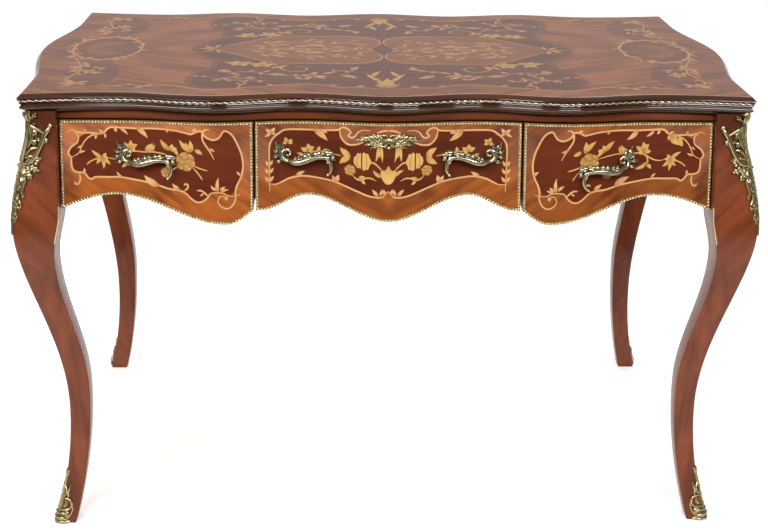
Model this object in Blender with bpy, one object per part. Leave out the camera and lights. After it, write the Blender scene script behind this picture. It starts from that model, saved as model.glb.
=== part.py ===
"""A serpentine writing desk: moulded top, cabriole legs, three frieze drawers and gilt brass mounts.

Metres, +Z up. The front faces -Y, +X is to the right, and the origin is on the floor under the centre.
"""

import math

import bmesh
import bpy
from mathutils import Vector

# Top panel
DESK_HEIGHT = 0.780
TOP_CORNER_X = 0.594
TOP_CORNER_Y = 0.363
TOP_THICKNESS = 0.031
TOP_EDGE_ROUND = 0.010
TOP_UNDERCUT = 0.016
END_BOW = 0.029
END_BOW_RUN = 0.250
WAVE_DEPTH = 0.011
WAVE_PITCH = 0.290
CORNER_LIFT = 0.005
ROPE_RADIUS = 0.0025
ROPE_DROP = 0.0115
ROPE_PROUD = 0.0005

# Cabriole legs: insets are measured inwards from the corners of the top
LEG_TOP_INSET = 0.017
KNEE_OUTSET = 0.017
ANKLE_INSET = 0.0435
TOE_INSET = 0.0125
LEG_INNER_INSET = 0.0590
HOLLOW_INSET = 0.046
ANKLE_INNER_INSET = 0.080
TOE_INNER_INSET = 0.047
KNEE_DROP = 0.197
HOLLOW_DROP = 0.247
ANKLE_HEIGHT = 0.215
ANKLE_INNER_HEIGHT = 0.250
SHIN_EASE = 0.85
LEG_CHAMFER = 0.003

# Frieze: rails, aprons and partitions
TOP_OVERHANG = 0.0225
FACE_WAVE_DEPTH = 0.0075
FACE_LEAN = 0.19
RAIL_HEIGHT = 0.0162
RAIL_SETBACK = 0.003
RAIL_DEPTH = 0.030
LOWER_RAIL_THICKNESS = 0.018
LOWER_RAIL_DROP = 0.119
APRON_MIN_THICKNESS = 0.016
SIDE_OVERHANG = 0.034
SIDE_BOW = 0.030
SIDE_CREST_RUN = 0.150
DIVIDER_X = 0.219
PARTITION_THICKNESS = 0.014
PARTITION_FOOT_RISE = 0.003
PARTITION_FOOT_RUN = 0.030
RUNNER_WIDTH = 0.018
RUNNER_HEIGHT = 0.018
GUIDE_HEIGHT = 0.025

# Drawers
DRAWER_GAP = 0.002
DRAWER_HEIGHT = 0.1422
CREST_RISE = 0.0235
SIDE_LOBE_DROP = 0.0212
CENTRE_LOBE_DROP = 0.016
SIDE_LOBE_RUN = 0.043
SIDE_CREST_FROM_LEG = 0.090
CENTRE_CREST_RUN = 0.085
CENTRE_END_FLAT = 0.011
BOX_WALL = 0.010
BOX_BOTTOM = 0.005
BOX_BACK_GAP = 0.104
BOX_SIDE_GAP = 0.0015
BOX_TOP_GAP = 0.006
BEAD_WIDTH = 0.0065
BEAD_PROUD = 0.003
BEAD_EDGE = 0.0004

# Handles: insets run along the front from the end of the drawer to the middle of the handle
HANDLE_LEFT_INSET = 0.1380
HANDLE_CENTRE_INSET = 0.0800
HANDLE_RIGHT_INSET = 0.1745
HANDLE_RISE = 0.0115
HANDLE_LEFT_DROP = 0.0035
HANDLE_RIGHT_DROP = 0.0145
HANDLE_LEFT_TILT = math.radians(2.8)
HANDLE_RIGHT_TILT = math.radians(11)
HANDLE_REACH = 0.027
HANDLE_POST = 0.012
HANDLE_SAG = 0.006
HANDLE_RADIUS = 0.0048
LEAF_FOOT_RUN = 0.032
LEAF_FOOT_RISE = 0.004
LEAF_RADIUS = 0.0145
LEAF_LOBE = 0.0045
LEAF_THICKNESS = 0.006
CURL_FOOT_RUN = 0.038
CURL_FOOT_DROP = 0.003
CURL_SIZE = 0.012
CURL_RADIUS = 0.0042
CURL_TIP_RADIUS = 0.0026
SCREW_RADIUS = 0.0016
SCREW_HEAD_RADIUS = 0.0040
SCREW_HEAD_THICKNESS = 0.0022
SCREW_BITE = 0.009
SCREW_CLEARANCE = 0.0005

# Escutcheon, knee mounts and sabots
ESCUTCHEON_HALF_WIDTH = 0.052
ESCUTCHEON_HALF_HEIGHT = 0.0125
ESCUTCHEON_PROUD = 0.008
ESCUTCHEON_GAP = 0.0086
MOUNT_LENGTH = 0.196
MOUNT_WING = 0.033
MOUNT_TAIL = 0.008
MOUNT_PROUD = 0.006
MOUNT_RIM = 0.0025
SABOT_HEIGHT = 0.095
SABOT_WING = 0.022
SABOT_TIP = 0.005
SABOT_WALL = 0.003
SABOT_LIP = 0.007
SABOT_ROLL = 0.003

# Fits and fineness
FIT = 0.0003
MOUNT_FIT = 0.0005
FRONT_STEPS = 36
END_STEPS = 16
SABOT_STEPS = 8
SHIN_STEPS = 12
MOUNT_STEPS = 12
FACE_STEP = 0.010
APRON_STEPS = 60
SIDE_STEPS = 24
ESCUTCHEON_STEPS = 26
LEAF_LOBES = 5

# Places that follow from the sizes above
UNDERSIDE = DESK_HEIGHT - TOP_THICKNESS
LEG_DIAGONAL = TOP_CORNER_X - TOP_CORNER_Y
WAVE_MEAN = TOP_CORNER_Y - CORNER_LIFT
FACE_MEAN = WAVE_MEAN - TOP_OVERHANG
FRONT_BACK = FACE_MEAN - FACE_WAVE_DEPTH - APRON_MIN_THICKNESS
RAIL_BACK = FRONT_BACK - FIT - RAIL_DEPTH
LEG_INNER_X = TOP_CORNER_X - LEG_INNER_INSET
LEG_INNER_Y = TOP_CORNER_Y - LEG_INNER_INSET
FRAME_TOP = UNDERSIDE - FIT
RAIL_BOTTOM = FRAME_TOP - RAIL_HEIGHT
DRAWER_TOP = RAIL_BOTTOM - DRAWER_GAP
DRAWER_END = DRAWER_TOP - DRAWER_HEIGHT
RUNNER_TOP = UNDERSIDE - LOWER_RAIL_DROP
SIDE_INNER_X = TOP_CORNER_X - SIDE_OVERHANG - APRON_MIN_THICKNESS
CENTRE_EDGE = DIVIDER_X - DRAWER_GAP
SIDE_EDGE = DIVIDER_X + DRAWER_GAP
OUTER_EDGE = LEG_INNER_X - DRAWER_GAP
GUIDE_INNER_X = LEG_INNER_X - DRAWER_GAP + FIT
KNEE_Z = UNDERSIDE - KNEE_DROP
HOLLOW_Z = UNDERSIDE - HOLLOW_DROP
HANDLE_Z = (DRAWER_TOP + DRAWER_END) / 2 + HANDLE_RISE
HANDLE_LEFT_X = HANDLE_LEFT_INSET - OUTER_EDGE
HANDLE_CENTRE_X = CENTRE_EDGE - HANDLE_CENTRE_INSET
HANDLE_RIGHT_X = OUTER_EDGE - HANDLE_RIGHT_INSET
MOUNT_HEAD = FRAME_TOP - MOUNT_FIT

# Each handle's middle, the way its leafy end points, and how far the leafy end is tipped up
LEFT_SEAT = (HANDLE_LEFT_X, HANDLE_Z - HANDLE_LEFT_DROP, -1, HANDLE_LEFT_TILT)
CENTRE_LEFT_SEAT = (-HANDLE_CENTRE_X, HANDLE_Z, -1, 0.0)
CENTRE_RIGHT_SEAT = (HANDLE_CENTRE_X, HANDLE_Z, 1, 0.0)
RIGHT_SEAT = (HANDLE_RIGHT_X, HANDLE_Z - HANDLE_RIGHT_DROP, 1, HANDLE_RIGHT_TILT)

FINISHES = {
    "veneer": ((0.31, 0.105, 0.045, 1.0), 0.30, 0.0),
    "edge": ((0.055, 0.022, 0.016, 1.0), 0.18, 0.0),
    "carcass": ((0.40, 0.26, 0.15, 1.0), 0.65, 0.0),
    "brass": ((0.60, 0.46, 0.20, 1.0), 0.35, 1.0),
    "steel": ((0.45, 0.44, 0.42, 1.0), 0.40, 1.0),
}


def clear_scene():
    for old in list(bpy.data.objects):
        bpy.data.objects.remove(old, do_unlink=True)


def new_collection(name):
    made = bpy.data.collections.new(name)
    bpy.context.scene.collection.children.link(made)
    return made


def finish_material(name):
    """The shared material of one finish."""
    if name in bpy.data.materials:
        return bpy.data.materials[name]
    colour, roughness, metallic = FINISHES[name]
    made = bpy.data.materials.new(name)
    made.use_nodes = True
    shader = made.node_tree.nodes["Principled BSDF"]
    shader.inputs["Base Color"].default_value = colour
    shader.inputs["Roughness"].default_value = roughness
    shader.inputs["Metallic"].default_value = metallic
    return made


def smooth(t):
    """Ease from 0 to 1, level at both ends."""
    return t * t * (3 - 2 * t)


def between(start, end, t):
    return start + (end - start) * t


def steps(start, end, count):
    return [between(start, end, i / count) for i in range(count + 1)]


def face_steps(left, right):
    """Places along the front, close enough together for its serpentine."""
    return steps(left, right, math.ceil((right - left) / FACE_STEP))


def add_piece(name, mesh, finish, parent=None):
    """Make a mesh into a named part of the desk, with its place kept when it gets a parent."""
    mesh.materials.clear()
    mesh.materials.append(finish_material(finish))
    piece = bpy.data.objects.new(name, mesh)
    PARTS.objects.link(piece)
    if parent:
        piece.parent = parent
        piece.location = -parent.location
    return piece


def loft_mesh(name, rings, ring_of_rings=False):
    """Skin through rings of equal counts, with capped ends unless the last ring meets the first."""
    made = bmesh.new()
    rows = [[made.verts.new(point) for point in ring] for ring in rings]
    pairs = list(zip(rows, rows[1:]))
    if ring_of_rings:
        pairs.append((rows[-1], rows[0]))
    else:
        made.faces.new(rows[0])
        made.faces.new(rows[-1])
    for row, following in pairs:
        for i in range(len(row)):
            j = (i + 1) % len(row)
            made.faces.new((row[i], row[j], following[j], following[i]))
    bmesh.ops.recalc_face_normals(made, faces=made.faces)
    mesh = bpy.data.meshes.new(name)
    made.to_mesh(mesh)
    made.free()
    return mesh


def shade_round(piece, angle=math.radians(35)):
    piece.data.shade_smooth()
    piece.data.set_sharp_from_angle(angle=angle)


def box(name, low, high, finish, parent=None):
    """A plain board between two corners."""
    made = bmesh.new()
    bmesh.ops.create_cube(made, size=1.0)
    size = Vector(high) - Vector(low)
    bmesh.ops.scale(made, vec=size, verts=made.verts)
    bmesh.ops.translate(made, vec=Vector(low) + size / 2, verts=made.verts)
    mesh = bpy.data.meshes.new(name)
    made.to_mesh(mesh)
    made.free()
    return add_piece(name, mesh, finish, parent)


def hide_cutter(cutter):
    PARTS.objects.unlink(cutter)
    CUTTERS.objects.link(cutter)
    cutter.hide_render = True
    cutter.display_type = "WIRE"


def boolean(piece, other, operation):
    modifier = piece.modifiers.new(operation.lower(), "BOOLEAN")
    modifier.operation = operation
    modifier.object = other
    modifier.solver = "EXACT"


def cylinder_mesh(name, radius, start_y, end_y, centre_x, centre_z, sides=12):
    """A round bar along Y."""
    made = bmesh.new()
    bmesh.ops.create_cone(
        made, cap_ends=True, segments=sides, radius1=radius, radius2=radius, depth=end_y - start_y
    )
    for vert in made.verts:
        x, y, z = vert.co
        vert.co = (centre_x + x, (start_y + end_y) / 2 - z, centre_z + y)
    bmesh.ops.recalc_face_normals(made, faces=made.faces)
    mesh = bpy.data.meshes.new(name)
    made.to_mesh(mesh)
    made.free()
    return mesh


def curve_to_mesh(curve_object):
    """The evaluated curve as a closed mesh. The curve is removed."""
    graph = bpy.context.evaluated_depsgraph_get()
    mesh = bpy.data.meshes.new_from_object(curve_object.evaluated_get(graph))
    made = bmesh.new()
    made.from_mesh(mesh)
    bmesh.ops.remove_doubles(made, verts=made.verts, dist=0.00001)
    bmesh.ops.recalc_face_normals(made, faces=made.faces)
    made.to_mesh(mesh)
    made.free()
    bpy.data.objects.remove(curve_object, do_unlink=True)
    return mesh


def tube_mesh(name, points, radii):
    """A round rod through the points, with a radius at each."""
    curve = bpy.data.curves.new(name, "CURVE")
    curve.dimensions = "3D"
    curve.bevel_depth = 1.0
    curve.bevel_resolution = 2
    curve.use_fill_caps = True
    spline = curve.splines.new("POLY")
    spline.points.add(len(points) - 1)
    for target, point, radius in zip(spline.points, points, radii):
        target.co = (*point, 1.0)
        target.radius = radius
    rod = bpy.data.objects.new(name, curve)
    PARTS.objects.link(rod)
    return curve_to_mesh(rod)


def flat_mesh(name, outline, thickness):
    """A flat plate of an (x, y) outline, centred on its thickness along Z."""
    curve = bpy.data.curves.new(name, "CURVE")
    curve.dimensions = "2D"
    curve.fill_mode = "BOTH"
    curve.extrude = thickness / 2
    spline = curve.splines.new("POLY")
    spline.points.add(len(outline) - 1)
    for target, (x, y) in zip(spline.points, outline):
        target.co = (x, y, 0.0, 1.0)
    spline.use_cyclic_u = True
    plate = bpy.data.objects.new(name, curve)
    PARTS.objects.link(plate)
    return curve_to_mesh(plate)


def smooth_path(points, fineness):
    """Points along a rounded curve through the given ones."""
    ends = [points[0] * 2 - points[1]] + points + [points[-1] * 2 - points[-2]]
    path = []
    for before, start, end, after in zip(ends, ends[1:], ends[2:], ends[3:]):
        for i in range(fineness):
            t = i / fineness
            path.append(
                0.5
                * (
                    2 * start
                    + (end - before) * t
                    + (2 * before - 5 * start + 4 * end - after) * t * t
                    + (3 * start - before - 3 * end + after) * t**3
                )
            )
    return path + [points[-1]]


def inset(outline, distance):
    """A closed anticlockwise outline moved inwards."""
    moved = []
    for i, point in enumerate(outline):
        into = (Vector(point) - Vector(outline[i - 1])).normalized()
        away = (Vector(outline[(i + 1) % len(outline)]) - Vector(point)).normalized()
        first = Vector((-into.y, into.x))
        both = (first + Vector((-away.y, away.x))).normalized()
        moved.append(Vector(point) + both * (distance / both.dot(first)))
    return moved


def wave(x):
    """The front's serpentine, from 1 at a swell to -1 in a hollow. Past the last hollow it stays level."""
    if abs(x) > 1.5 * WAVE_PITCH:
        return -1.0
    return math.cos(2 * math.pi * x / WAVE_PITCH)


def face_y(x, z):
    """Where the drawers' faces lie. They lean out towards the floor, as the knees do."""
    return FACE_MEAN + FACE_WAVE_DEPTH * wave(x) + FACE_LEAN * (DRAWER_TOP - z)


def top_edge_y(x):
    """How far in front of the centre the top's front edge lies. It turns out again to the corner."""
    last_hollow = 1.5 * WAVE_PITCH
    t = max(0.0, (abs(x) - last_hollow) / (TOP_CORNER_X - last_hollow))
    lift = (WAVE_DEPTH + CORNER_LIFT) * (1 - math.cos(math.pi * t / 2))
    return WAVE_MEAN + WAVE_DEPTH * wave(x) + lift


def swell(y, reach):
    """A bow that is 1 in the middle and runs out level at this reach to both sides."""
    return 0.5 + 0.5 * math.cos(math.pi * min(1.0, abs(y) / reach))


def top_outline():
    front = [(x, -top_edge_y(x)) for x in steps(-TOP_CORNER_X, TOP_CORNER_X, FRONT_STEPS)]
    end = [
        (TOP_CORNER_X + END_BOW * swell(y, END_BOW_RUN), y)
        for y in steps(-TOP_CORNER_Y, TOP_CORNER_Y, END_STEPS)
    ]
    half = front[:-1] + end[:-1]
    return half + [(-x, -y) for x, y in half]


def rope_groove():
    """The depth of the groove for the rope, and its height at the bottom and top."""
    depth = 2 * ROPE_RADIUS - ROPE_PROUD + MOUNT_FIT
    middle = DESK_HEIGHT - ROPE_DROP
    return depth, middle - ROPE_RADIUS - MOUNT_FIT, middle + ROPE_RADIUS + MOUNT_FIT


def make_top():
    outline = top_outline()
    depth, low, high = rope_groove()
    profile = [
        (TOP_UNDERCUT, UNDERSIDE),
        (TOP_UNDERCUT * 0.75, between(UNDERSIDE, low, 0.20)),
        (TOP_UNDERCUT * 0.20, between(UNDERSIDE, low, 0.45)),
        (0.0, between(UNDERSIDE, low, 0.80)),
        (0.0, low - MOUNT_FIT),
        (depth, low),
        (depth, high),
        (0.0, high + MOUNT_FIT),
        (TOP_EDGE_ROUND * 0.35, between(high + MOUNT_FIT, DESK_HEIGHT, 0.75)),
        (TOP_EDGE_ROUND, DESK_HEIGHT),
    ]
    rings = [[(*point, z) for point in inset(outline, distance)] for distance, z in profile]
    shade_round(add_piece("top_panel", loft_mesh("top_panel", rings), "edge"))

    centre_inset = ROPE_RADIUS - ROPE_PROUD
    middle = DESK_HEIGHT - ROPE_DROP
    sides = 6
    around = [2 * math.pi * i / sides for i in range(sides)]
    circles = [
        [(*point, middle + ROPE_RADIUS * math.sin(angle)) for point in inset(outline, centre_inset + shift)]
        for angle, shift in ((a, ROPE_RADIUS * math.cos(a)) for a in around)
    ]
    rings = [list(section) for section in zip(*circles)]
    rope = add_piece("top_rope_moulding", loft_mesh("top_rope_moulding", rings, True), "brass")
    shade_round(rope, math.radians(70))


def leg_outer(z):
    """Where the leg's outer arris lies, measured along X."""
    top = TOP_CORNER_X - LEG_TOP_INSET
    knee = TOP_CORNER_X + KNEE_OUTSET
    ankle = TOP_CORNER_X - ANKLE_INSET
    toe = TOP_CORNER_X - TOE_INSET
    if z >= KNEE_Z:
        return between(top, knee, smooth((UNDERSIDE - z) / KNEE_DROP))
    if z >= ANKLE_HEIGHT:
        return between(knee, ankle, smooth(((KNEE_Z - z) / (KNEE_Z - ANKLE_HEIGHT)) ** SHIN_EASE))
    return between(ankle, toe, ((ANKLE_HEIGHT - z) / ANKLE_HEIGHT) ** 2)


def leg_inner(z):
    """Where the leg's inner faces lie, measured along X."""
    hollow = TOP_CORNER_X - HOLLOW_INSET
    ankle = TOP_CORNER_X - ANKLE_INNER_INSET
    toe = TOP_CORNER_X - TOE_INNER_INSET
    if z >= DRAWER_END:
        return LEG_INNER_X
    if z >= HOLLOW_Z:
        return between(LEG_INNER_X, hollow, smooth((DRAWER_END - z) / (DRAWER_END - HOLLOW_Z)))
    if z >= ANKLE_INNER_HEIGHT:
        return between(hollow, ankle, smooth((HOLLOW_Z - z) / (HOLLOW_Z - ANKLE_INNER_HEIGHT)))
    return between(ankle, toe, ((ANKLE_INNER_HEIGHT - z) / ANKLE_INNER_HEIGHT) ** 2)


def corner_point(side_x, side_y, along_x, along_y, z):
    """A point at one of the four corners. Both distances are measured along X, the legs being square."""
    return (side_x * along_x, side_y * (along_y - LEG_DIAGONAL), z)


def square_ring(side_x, side_y, low, high, chamfer, z):
    corners = [
        (high, low + chamfer),
        (high, high - chamfer),
        (high - chamfer, high),
        (low + chamfer, high),
        (low, high - chamfer),
        (low, low + chamfer),
        (low + chamfer, low),
        (high - chamfer, low),
    ]
    return [corner_point(side_x, side_y, a, b, z) for a, b in corners]


def make_leg(place, side_x, side_y):
    heights = steps(0.0, SABOT_HEIGHT, SABOT_STEPS)[:-1]
    heights += steps(SABOT_HEIGHT, MOUNT_HEAD - MOUNT_LENGTH, SHIN_STEPS)[:-1]
    heights += steps(MOUNT_HEAD - MOUNT_LENGTH, MOUNT_HEAD, MOUNT_STEPS) + [FRAME_TOP]
    rings = [square_ring(side_x, side_y, leg_inner(z), leg_outer(z), LEG_CHAMFER, z) for z in heights]
    shade_round(add_piece(f"leg_{place}", loft_mesh("leg", rings), "veneer"))


def mount_wing(t):
    """How far a knee mount spreads over the leg's faces, from its leafy head (0) to its tail (1)."""
    lobes = 0.86 + 0.14 * math.cos(2 * math.pi * 3.5 * t)
    return between(MOUNT_WING, MOUNT_TAIL, t**0.8) * lobes


def bracket_ring(side_x, side_y, outer, wing, rim, proud, z):
    """An angle of metal round the outer arris of a leg."""
    seat = outer + MOUNT_FIT
    corners = [
        (seat, seat),
        (outer - wing, seat),
        (outer - wing, seat + rim),
        (outer - wing * 0.35, seat + proud),
        (seat + proud * 0.8, seat + proud * 0.8),
        (seat + proud, outer - wing * 0.35),
        (seat + rim, outer - wing),
        (seat, outer - wing),
    ]
    return [corner_point(side_x, side_y, a, b, z) for a, b in corners]


def make_knee_mount(place, side_x, side_y):
    rings = []
    for t in steps(0.0, 1.0, MOUNT_STEPS):
        z = MOUNT_HEAD - MOUNT_LENGTH * t
        proud = MOUNT_PROUD * (1 - 0.4 * t)
        rings.append(bracket_ring(side_x, side_y, leg_outer(z), mount_wing(t), MOUNT_RIM, proud, z))
    shade_round(add_piece(f"knee_mount_{place}", loft_mesh("knee_mount", rings), "brass"))


def sabot_wing(t):
    """How far a sabot spreads over the leg's faces, from the floor (0) to its leaf tip (1)."""
    lobes = 0.8 + 0.2 * math.cos(2 * math.pi * 1.5 * t)
    return between(SABOT_WING, SABOT_TIP, t) * lobes


def make_sabot(place, side_x, side_y):
    """A brass shoe on the outer arris: a toe with a rolled lip, and leaves that climb to a point."""
    rings = []
    heights = [0.0, SABOT_LIP * 0.2, SABOT_LIP * 0.6] + steps(0.0, SABOT_HEIGHT, SABOT_STEPS)[1:]
    for z in heights:
        t = z / SABOT_HEIGHT
        roll = SABOT_ROLL * math.sin(math.pi * min(1.0, (z + SABOT_LIP * 0.2) / (SABOT_LIP * 1.2)))
        proud = between(SABOT_WALL, SABOT_WALL * 0.5, t) * (1 + 0.3 * math.sin(2 * math.pi * 2 * t)) + roll
        rim = SABOT_WALL * 0.5 + roll * 0.5
        rings.append(bracket_ring(side_x, side_y, leg_outer(z), sabot_wing(t), rim, proud, z))
    shade_round(add_piece(f"sabot_{place}", loft_mesh("sabot", rings), "brass"))


def low_edge(x):
    """The height of the shaped lower edge that runs under the drawers."""
    run = abs(x)
    crest = DRAWER_END + CREST_RISE
    side_lobe = DRAWER_END - SIDE_LOBE_DROP
    centre_lobe = DRAWER_END - CENTRE_LOBE_DROP
    centre_crest_x = CENTRE_EDGE - CENTRE_CREST_RUN
    flat_x = CENTRE_EDGE - CENTRE_END_FLAT
    side_lobe_x = SIDE_EDGE + SIDE_LOBE_RUN
    side_crest_x = OUTER_EDGE - SIDE_CREST_FROM_LEG
    if run <= centre_crest_x:
        return between(centre_lobe, crest, smooth(run / centre_crest_x))
    if run <= flat_x:
        return between(crest, DRAWER_END, smooth((run - centre_crest_x) / (flat_x - centre_crest_x)))
    if run <= SIDE_EDGE:
        return DRAWER_END
    if run <= side_lobe_x:
        t = (side_lobe_x - run) / SIDE_LOBE_RUN
        return between(side_lobe, DRAWER_END, 1 - math.cos(math.pi * t / 2))
    if run <= side_crest_x:
        return between(side_lobe, crest, smooth((run - side_lobe_x) / (side_crest_x - side_lobe_x)))
    t = min(1.0, (run - side_crest_x) / SIDE_CREST_FROM_LEG)
    return between(crest, DRAWER_END, 1 - math.cos(math.pi * t / 2))


def shaped_board(name, xs, side_y, setback, bottom, top, back, finish, parent=None):
    """A board with a serpentine outer face, a flat inner one and a bottom edge that may be shaped."""
    rings = []
    for x in xs:
        low = bottom(x)
        inner = side_y * back
        outer = [(x, side_y * (face_y(x, z) - setback), z) for z in (low, top)]
        rings.append(outer + [(x, inner, top), (x, inner, low)])
    piece = add_piece(name, loft_mesh(name, rings), finish, parent)
    shade_round(piece)
    return piece


def make_frieze():
    reach = LEG_INNER_X - FIT
    across = steps(-reach, reach, APRON_STEPS)
    shaped_board(
        "front_top_rail", across, -1, RAIL_SETBACK, lambda x: RAIL_BOTTOM, FRAME_TOP, RAIL_BACK, "veneer"
    )
    shaped_board("back_apron", across, 1, 0.0, low_edge, FRAME_TOP, FRONT_BACK, "veneer")
    box(
        "front_lower_rail",
        (-reach, -FRONT_BACK + FIT, RUNNER_TOP - LOWER_RAIL_THICKNESS),
        (reach, -RAIL_BACK, RUNNER_TOP),
        "carcass",
    )
    for side, place in ((-1, "left"), (1, "right")):
        make_side_apron(place, side)
        make_partition(place, side)
        make_runners(place, side)


def side_low_edge(y):
    """The lower edge of an end: a lobe in the middle between two crests."""
    run = abs(y)
    crest = DRAWER_END + CREST_RISE
    if run <= SIDE_CREST_RUN:
        return between(DRAWER_END - CENTRE_LOBE_DROP, crest, smooth(run / SIDE_CREST_RUN))
    t = (run - SIDE_CREST_RUN) / (LEG_INNER_Y - SIDE_CREST_RUN)
    return between(crest, DRAWER_END, 1 - math.cos(math.pi * t / 2))


def make_side_apron(place, side):
    reach = LEG_INNER_Y - FIT
    rings = []
    for y in steps(-reach, reach, SIDE_STEPS):
        outer = side * (TOP_CORNER_X - SIDE_OVERHANG + SIDE_BOW * swell(y, LEG_INNER_Y))
        inner = side * SIDE_INNER_X
        low = side_low_edge(y)
        rings.append([(outer, y, low), (outer, y, FRAME_TOP), (inner, y, FRAME_TOP), (inner, y, low)])
    shade_round(add_piece(f"side_apron_{place}", loft_mesh("side_apron", rings), "veneer"))


def make_partition(place, side):
    """A board between two drawers, notched round both front rails, with a foot that closes the gap below them."""
    rail_low = RUNNER_TOP - LOWER_RAIL_THICKNESS
    foot_low = DRAWER_END + PARTITION_FOOT_RISE
    outline = [
        (-FRONT_BACK + 2 * FIT, RUNNER_TOP + FIT),
        (-RAIL_BACK + FIT, RUNNER_TOP + FIT),
        (-RAIL_BACK + FIT, rail_low - FIT),
        (-FRONT_BACK + 2 * FIT, rail_low - FIT),
        (-FRONT_BACK + 2 * FIT, foot_low),
        (-RAIL_BACK + FIT, foot_low),
        (-RAIL_BACK + FIT + PARTITION_FOOT_RUN, rail_low),
        (FRONT_BACK - FIT, rail_low),
        (FRONT_BACK - FIT, FRAME_TOP),
        (-RAIL_BACK + FIT, FRAME_TOP),
        (-RAIL_BACK + FIT, RAIL_BOTTOM - FIT),
        (-FRONT_BACK + 2 * FIT, RAIL_BOTTOM - FIT),
    ]
    mesh = flat_mesh(f"partition_{place}", outline, PARTITION_THICKNESS)
    for vert in mesh.vertices:
        y, z, x = vert.co
        vert.co = (side * DIVIDER_X + x, y, z)
    add_piece(f"partition_{place}", mesh, "carcass")


def make_runners(place, side):
    """The three hardwood strips that carry the drawers on this side, and the guide beside the outer one."""
    low = RUNNER_TOP - RUNNER_HEIGHT
    front = -RAIL_BACK + FIT
    inner_face = DIVIDER_X - PARTITION_THICKNESS / 2 - FIT
    outer_face = DIVIDER_X + PARTITION_THICKNESS / 2 + FIT
    spans = {
        f"runner_centre_drawer_{place}": (inner_face - RUNNER_WIDTH, inner_face, FRONT_BACK - FIT),
        f"runner_{place}_drawer_inner": (outer_face, outer_face + RUNNER_WIDTH, FRONT_BACK - FIT),
        f"runner_{place}_drawer_outer": (
            GUIDE_INNER_X - RUNNER_WIDTH,
            SIDE_INNER_X - FIT,
            LEG_INNER_Y - FIT,
        ),
    }
    for name, (near, far, back) in spans.items():
        xs = sorted((side * near, side * far))
        box(name, (xs[0], front, low), (xs[1], back, RUNNER_TOP), "carcass")
    xs = sorted((side * GUIDE_INNER_X, side * (SIDE_INNER_X - FIT)))
    box(
        f"drawer_guide_{place}",
        (xs[0], front, RUNNER_TOP + FIT),
        (xs[1], LEG_INNER_Y - FIT, RUNNER_TOP + FIT + GUIDE_HEIGHT),
        "carcass",
    )


def make_bead_frame(name, left, right, parent):
    """The milled brass strip round a drawer's face."""
    across = face_steps(left, right)
    bottom = [(x, low_edge(x)) for x in across]
    top = [(x, DRAWER_TOP) for x in reversed(across)]
    right_side = [(right, z) for z in steps(low_edge(right), DRAWER_TOP, 3)]
    left_side = [(left, z) for z in steps(DRAWER_TOP, low_edge(left), 3)]
    outline = bottom[:-1] + right_side[:-1] + top[:-1] + left_side[:-1]
    rings = []
    for outer, inner in zip(inset(outline, BEAD_EDGE), inset(outline, BEAD_EDGE + BEAD_WIDTH)):
        rings.append(
            [
                (outer.x, -face_y(*outer) - MOUNT_FIT, outer.y),
                (outer.x, -face_y(*outer) - BEAD_PROUD, outer.y),
                (inner.x, -face_y(*inner) - BEAD_PROUD, inner.y),
                (inner.x, -face_y(*inner) - MOUNT_FIT, inner.y),
            ]
        )
    add_piece(name, loft_mesh(name, rings, True), "brass", parent)


def make_drawer(place, left, right, box_left, box_right, screw_places):
    """One drawer: a shaped front, two sides, a back and a bottom, on an empty that slides along Y."""
    slide = bpy.data.objects.new(f"drawer_{place}_slide", None)
    slide.location = ((left + right) / 2, -FRONT_BACK, RUNNER_TOP)
    PARTS.objects.link(slide)
    bpy.context.view_layer.update()
    front = shaped_board(
        f"drawer_{place}_front",
        face_steps(left, right),
        -1,
        0.0,
        low_edge,
        DRAWER_TOP,
        FRONT_BACK,
        "veneer",
        slide,
    )
    for index, (x, z) in enumerate(screw_places):
        name = f"screw_hole_{place}_{index}"
        reach = face_y(x, z) + HANDLE_REACH
        mesh = cylinder_mesh(name, SCREW_RADIUS + SCREW_CLEARANCE, -reach, -RAIL_BACK, x, z)
        hole = add_piece(name, mesh, "steel")
        hide_cutter(hole)
        boolean(front, hole, "DIFFERENCE")

    start = -FRONT_BACK + FIT
    end = FRONT_BACK - BOX_BACK_GAP
    floor = RUNNER_TOP + FIT
    wall_foot = floor + BOX_BOTTOM + FIT
    wall_top = RAIL_BOTTOM - BOX_TOP_GAP
    name = f"drawer_{place}"
    box(f"{name}_bottom", (box_left, start, floor), (box_right, end, floor + BOX_BOTTOM), "carcass", slide)
    inner_left = box_left + BOX_WALL
    inner_right = box_right - BOX_WALL
    box(f"{name}_side_left", (box_left, start, wall_foot), (inner_left, end, wall_top), "carcass", slide)
    box(f"{name}_side_right", (inner_right, start, wall_foot), (box_right, end, wall_top), "carcass", slide)
    box(
        f"{name}_back",
        (inner_left + FIT, end - BOX_WALL, wall_foot),
        (inner_right - FIT, end, wall_top),
        "carcass",
        slide,
    )
    make_bead_frame(f"{name}_bead_frame", left, right, slide)
    return slide


def face_block():
    """A block whose front lies just before the drawer faces. What is fixed to a drawer is cut to fit it."""
    rings = []
    for x in face_steps(-OUTER_EDGE, OUTER_EDGE):
        front = [(x, -face_y(x, z) - FIT, z) for z in (0.0, DESK_HEIGHT)]
        rings.append(front + [(x, -RAIL_BACK, DESK_HEIGHT), (x, -RAIL_BACK, 0.0)])
    block = add_piece("face_block", loft_mesh("face_block", rings), "carcass")
    hide_cutter(block)
    return block


def on_seat(seat, along, up):
    """The x and z of a place on a handle, from its middle."""
    centre_x, centre_z, side, tilt = seat
    x = centre_x + side * (along * math.cos(tilt) - up * math.sin(tilt))
    return x, centre_z + along * math.sin(tilt) + up * math.cos(tilt)


def handle_screws(seat):
    """Where the two feet of a handle are screwed on."""
    return [on_seat(seat, LEAF_FOOT_RUN, LEAF_FOOT_RISE), on_seat(seat, -CURL_FOOT_RUN, -CURL_FOOT_DROP)]


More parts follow.
